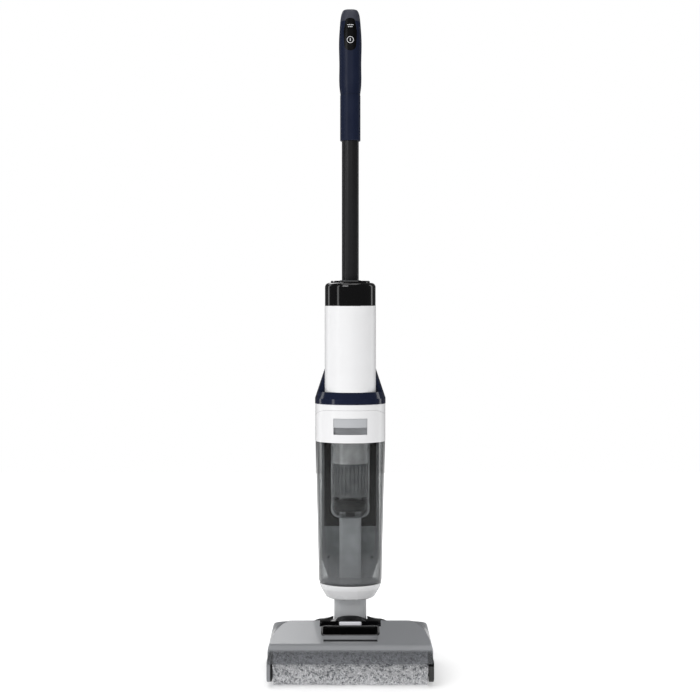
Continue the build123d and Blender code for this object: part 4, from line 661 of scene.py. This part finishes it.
def flat_ring(bm, place, outer, inner, turn=2 * pi, start=0.0):
    """Thin printed ring, or an arc of one, on the plane that place gives."""
    first = bm.verts.new(Vector((inner, 0, 0)))
    last = bm.verts.new(Vector((outer, 0, 0)))
    edge = bm.edges.new((first, last))
    bmesh.ops.rotate(bm, verts=[first, last], cent=(0, 0, 0), matrix=Matrix.Rotation(start, 3, "Z"))
    full = turn > 2 * pi - 0.01
    bmesh.ops.spin(bm, geom=[first, last, edge], cent=(0, 0, 0), axis=(0, 0, 1), angle=turn,
                   steps=RING_STEPS, use_merge=full)
    thick = bmesh.ops.extrude_face_region(bm, geom=bm.faces[:])
    moved = [g for g in thick["geom"] if isinstance(g, bmesh.types.BMVert)]
    bmesh.ops.translate(bm, verts=moved, vec=(0, 0, INK))
    bmesh.ops.recalc_face_normals(bm, faces=bm.faces)
    bmesh.ops.transform(bm, matrix=place, verts=bm.verts)


def dash(bm, x, y, width, height):
    """Printed dash, as thick as the ink."""
    made = bmesh.ops.create_cube(bm, size=1)["verts"]
    bmesh.ops.scale(bm, vec=(width, height, INK), verts=made)
    bmesh.ops.translate(bm, verts=made, vec=(x, y, INK / 2))


def button_plane(node):
    """Places a mark on the face of a grip button: x across, y up the grip, z out of it."""
    low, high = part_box(node)
    mid = (low + high) / 2
    tilt = Matrix.Rotation(pi / 2 - GRIP_LEAN, 4, "X")
    out = Vector((0, -cos(GRIP_LEAN), sin(GRIP_LEAN)))
    face = max(vert.co.dot(out) for vert in NODES[node].data.vertices)
    return Matrix.Translation(mid + out * (face - mid.dot(out))) @ tilt


# screen-printed white ink: soft, slightly uneven
white_ink = moulded("screen_printed_white_ink", "#E9EAEC", 0.5, grain_mm=0.3, relief_mm=0.01, drift=0.04)
# lit film of the display ring
lit_film = moulded("pale_blue_display_film", "#9FC4E0", 0.3, grain_mm=0.6, relief_mm=0.005, drift=0.05)
INK = 0.06 * MM             # thickness of a printed mark
POWER_OUTER, POWER_INNER = 5.7 * MM, 4.95 * MM
POWER_BAR, POWER_BAR_RISE = (1.0 * MM, 4.6 * MM), 0.2 * MM
MODE_DASH = (1.9 * MM, 1.1 * MM)
MODE_PITCH = 2.7 * MM
MODE_ROWS = ((1.8 * MM, 4), (-1.6 * MM, 3))     # height and number of dashes
ARC_OUTER, ARC_INNER = 28.5 * MM, 26.8 * MM
ARC_TURN, ARC_START = radians(230), radians(155)
GASKET_INSET = 5.5 * MM     # from the cup's outside in to the gasket's inner edge
GASKET_SPREAD = 1.06        # its outer radius, of the inner one
GASKET_THICK, GASKET_LIFT = 0.22 * MM, 0.02 * MM


def power_mark():
    """Ring with a short upright bar."""
    place = button_plane("power_button")
    bm = bmesh.new()
    flat_ring(bm, place, POWER_OUTER, POWER_INNER)
    finish_piece(bm, "power_mark_ring", "power", white_ink, smooth=False)
    bm = bmesh.new()
    dash(bm, 0, POWER_BAR_RISE, *POWER_BAR)
    bmesh.ops.transform(bm, matrix=place, verts=bm.verts)
    finish_piece(bm, "power_mark_bar", "power", white_ink, smooth=False)


def mode_marks():
    """Two short rows of dashes on the mode button."""
    place = button_plane("mode_button")
    bm = bmesh.new()
    for y, count in MODE_ROWS:
        for n in range(count):
            dash(bm, (n - (count - 1) / 2) * MODE_PITCH, y, *MODE_DASH)
    bmesh.ops.transform(bm, matrix=place, verts=bm.verts)
    finish_piece(bm, "mode_marks", "mode", white_ink, smooth=False)


def display_ring():
    """Battery arc printed under the round display window."""
    low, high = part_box("display_lens")
    mid = (low + high) / 2
    place = Matrix.Translation((mid.x, mid.y, high.z))
    bm = bmesh.new()
    flat_ring(bm, place, ARC_OUTER, ARC_INNER, turn=ARC_TURN, start=ARC_START)
    finish_piece(bm, "display_arc", "body", lit_film, smooth=False)


def tank_gasket():
    """Soft seal between the tank's foot and the cup."""
    cup_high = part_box("lower_cup")[1]
    bm = bmesh.new()
    bmesh.ops.create_circle(bm, segments=64, radius=cup_high.x - GASKET_INSET)
    place = Matrix.Translation((0, BODY_Y, cup_high.z + GASKET_LIFT))
    thick = bmesh.ops.extrude_edge_only(bm, edges=bm.edges[:])
    outer = [g for g in thick["geom"] if isinstance(g, bmesh.types.BMVert)]
    bmesh.ops.scale(bm, vec=(GASKET_SPREAD, GASKET_SPREAD, 1), verts=outer)
    up = bmesh.ops.extrude_face_region(bm, geom=bm.faces[:])
    top = [g for g in up["geom"] if isinstance(g, bmesh.types.BMVert)]
    bmesh.ops.translate(bm, verts=top, vec=(0, 0, GASKET_THICK))
    bmesh.ops.recalc_face_normals(bm, faces=bm.faces)
    bmesh.ops.transform(bm, matrix=place, verts=bm.verts)
    finish_piece(bm, "tank_gasket", "body", black_rubber)


power_mark()
mode_marks()
display_ring()
tank_gasket()
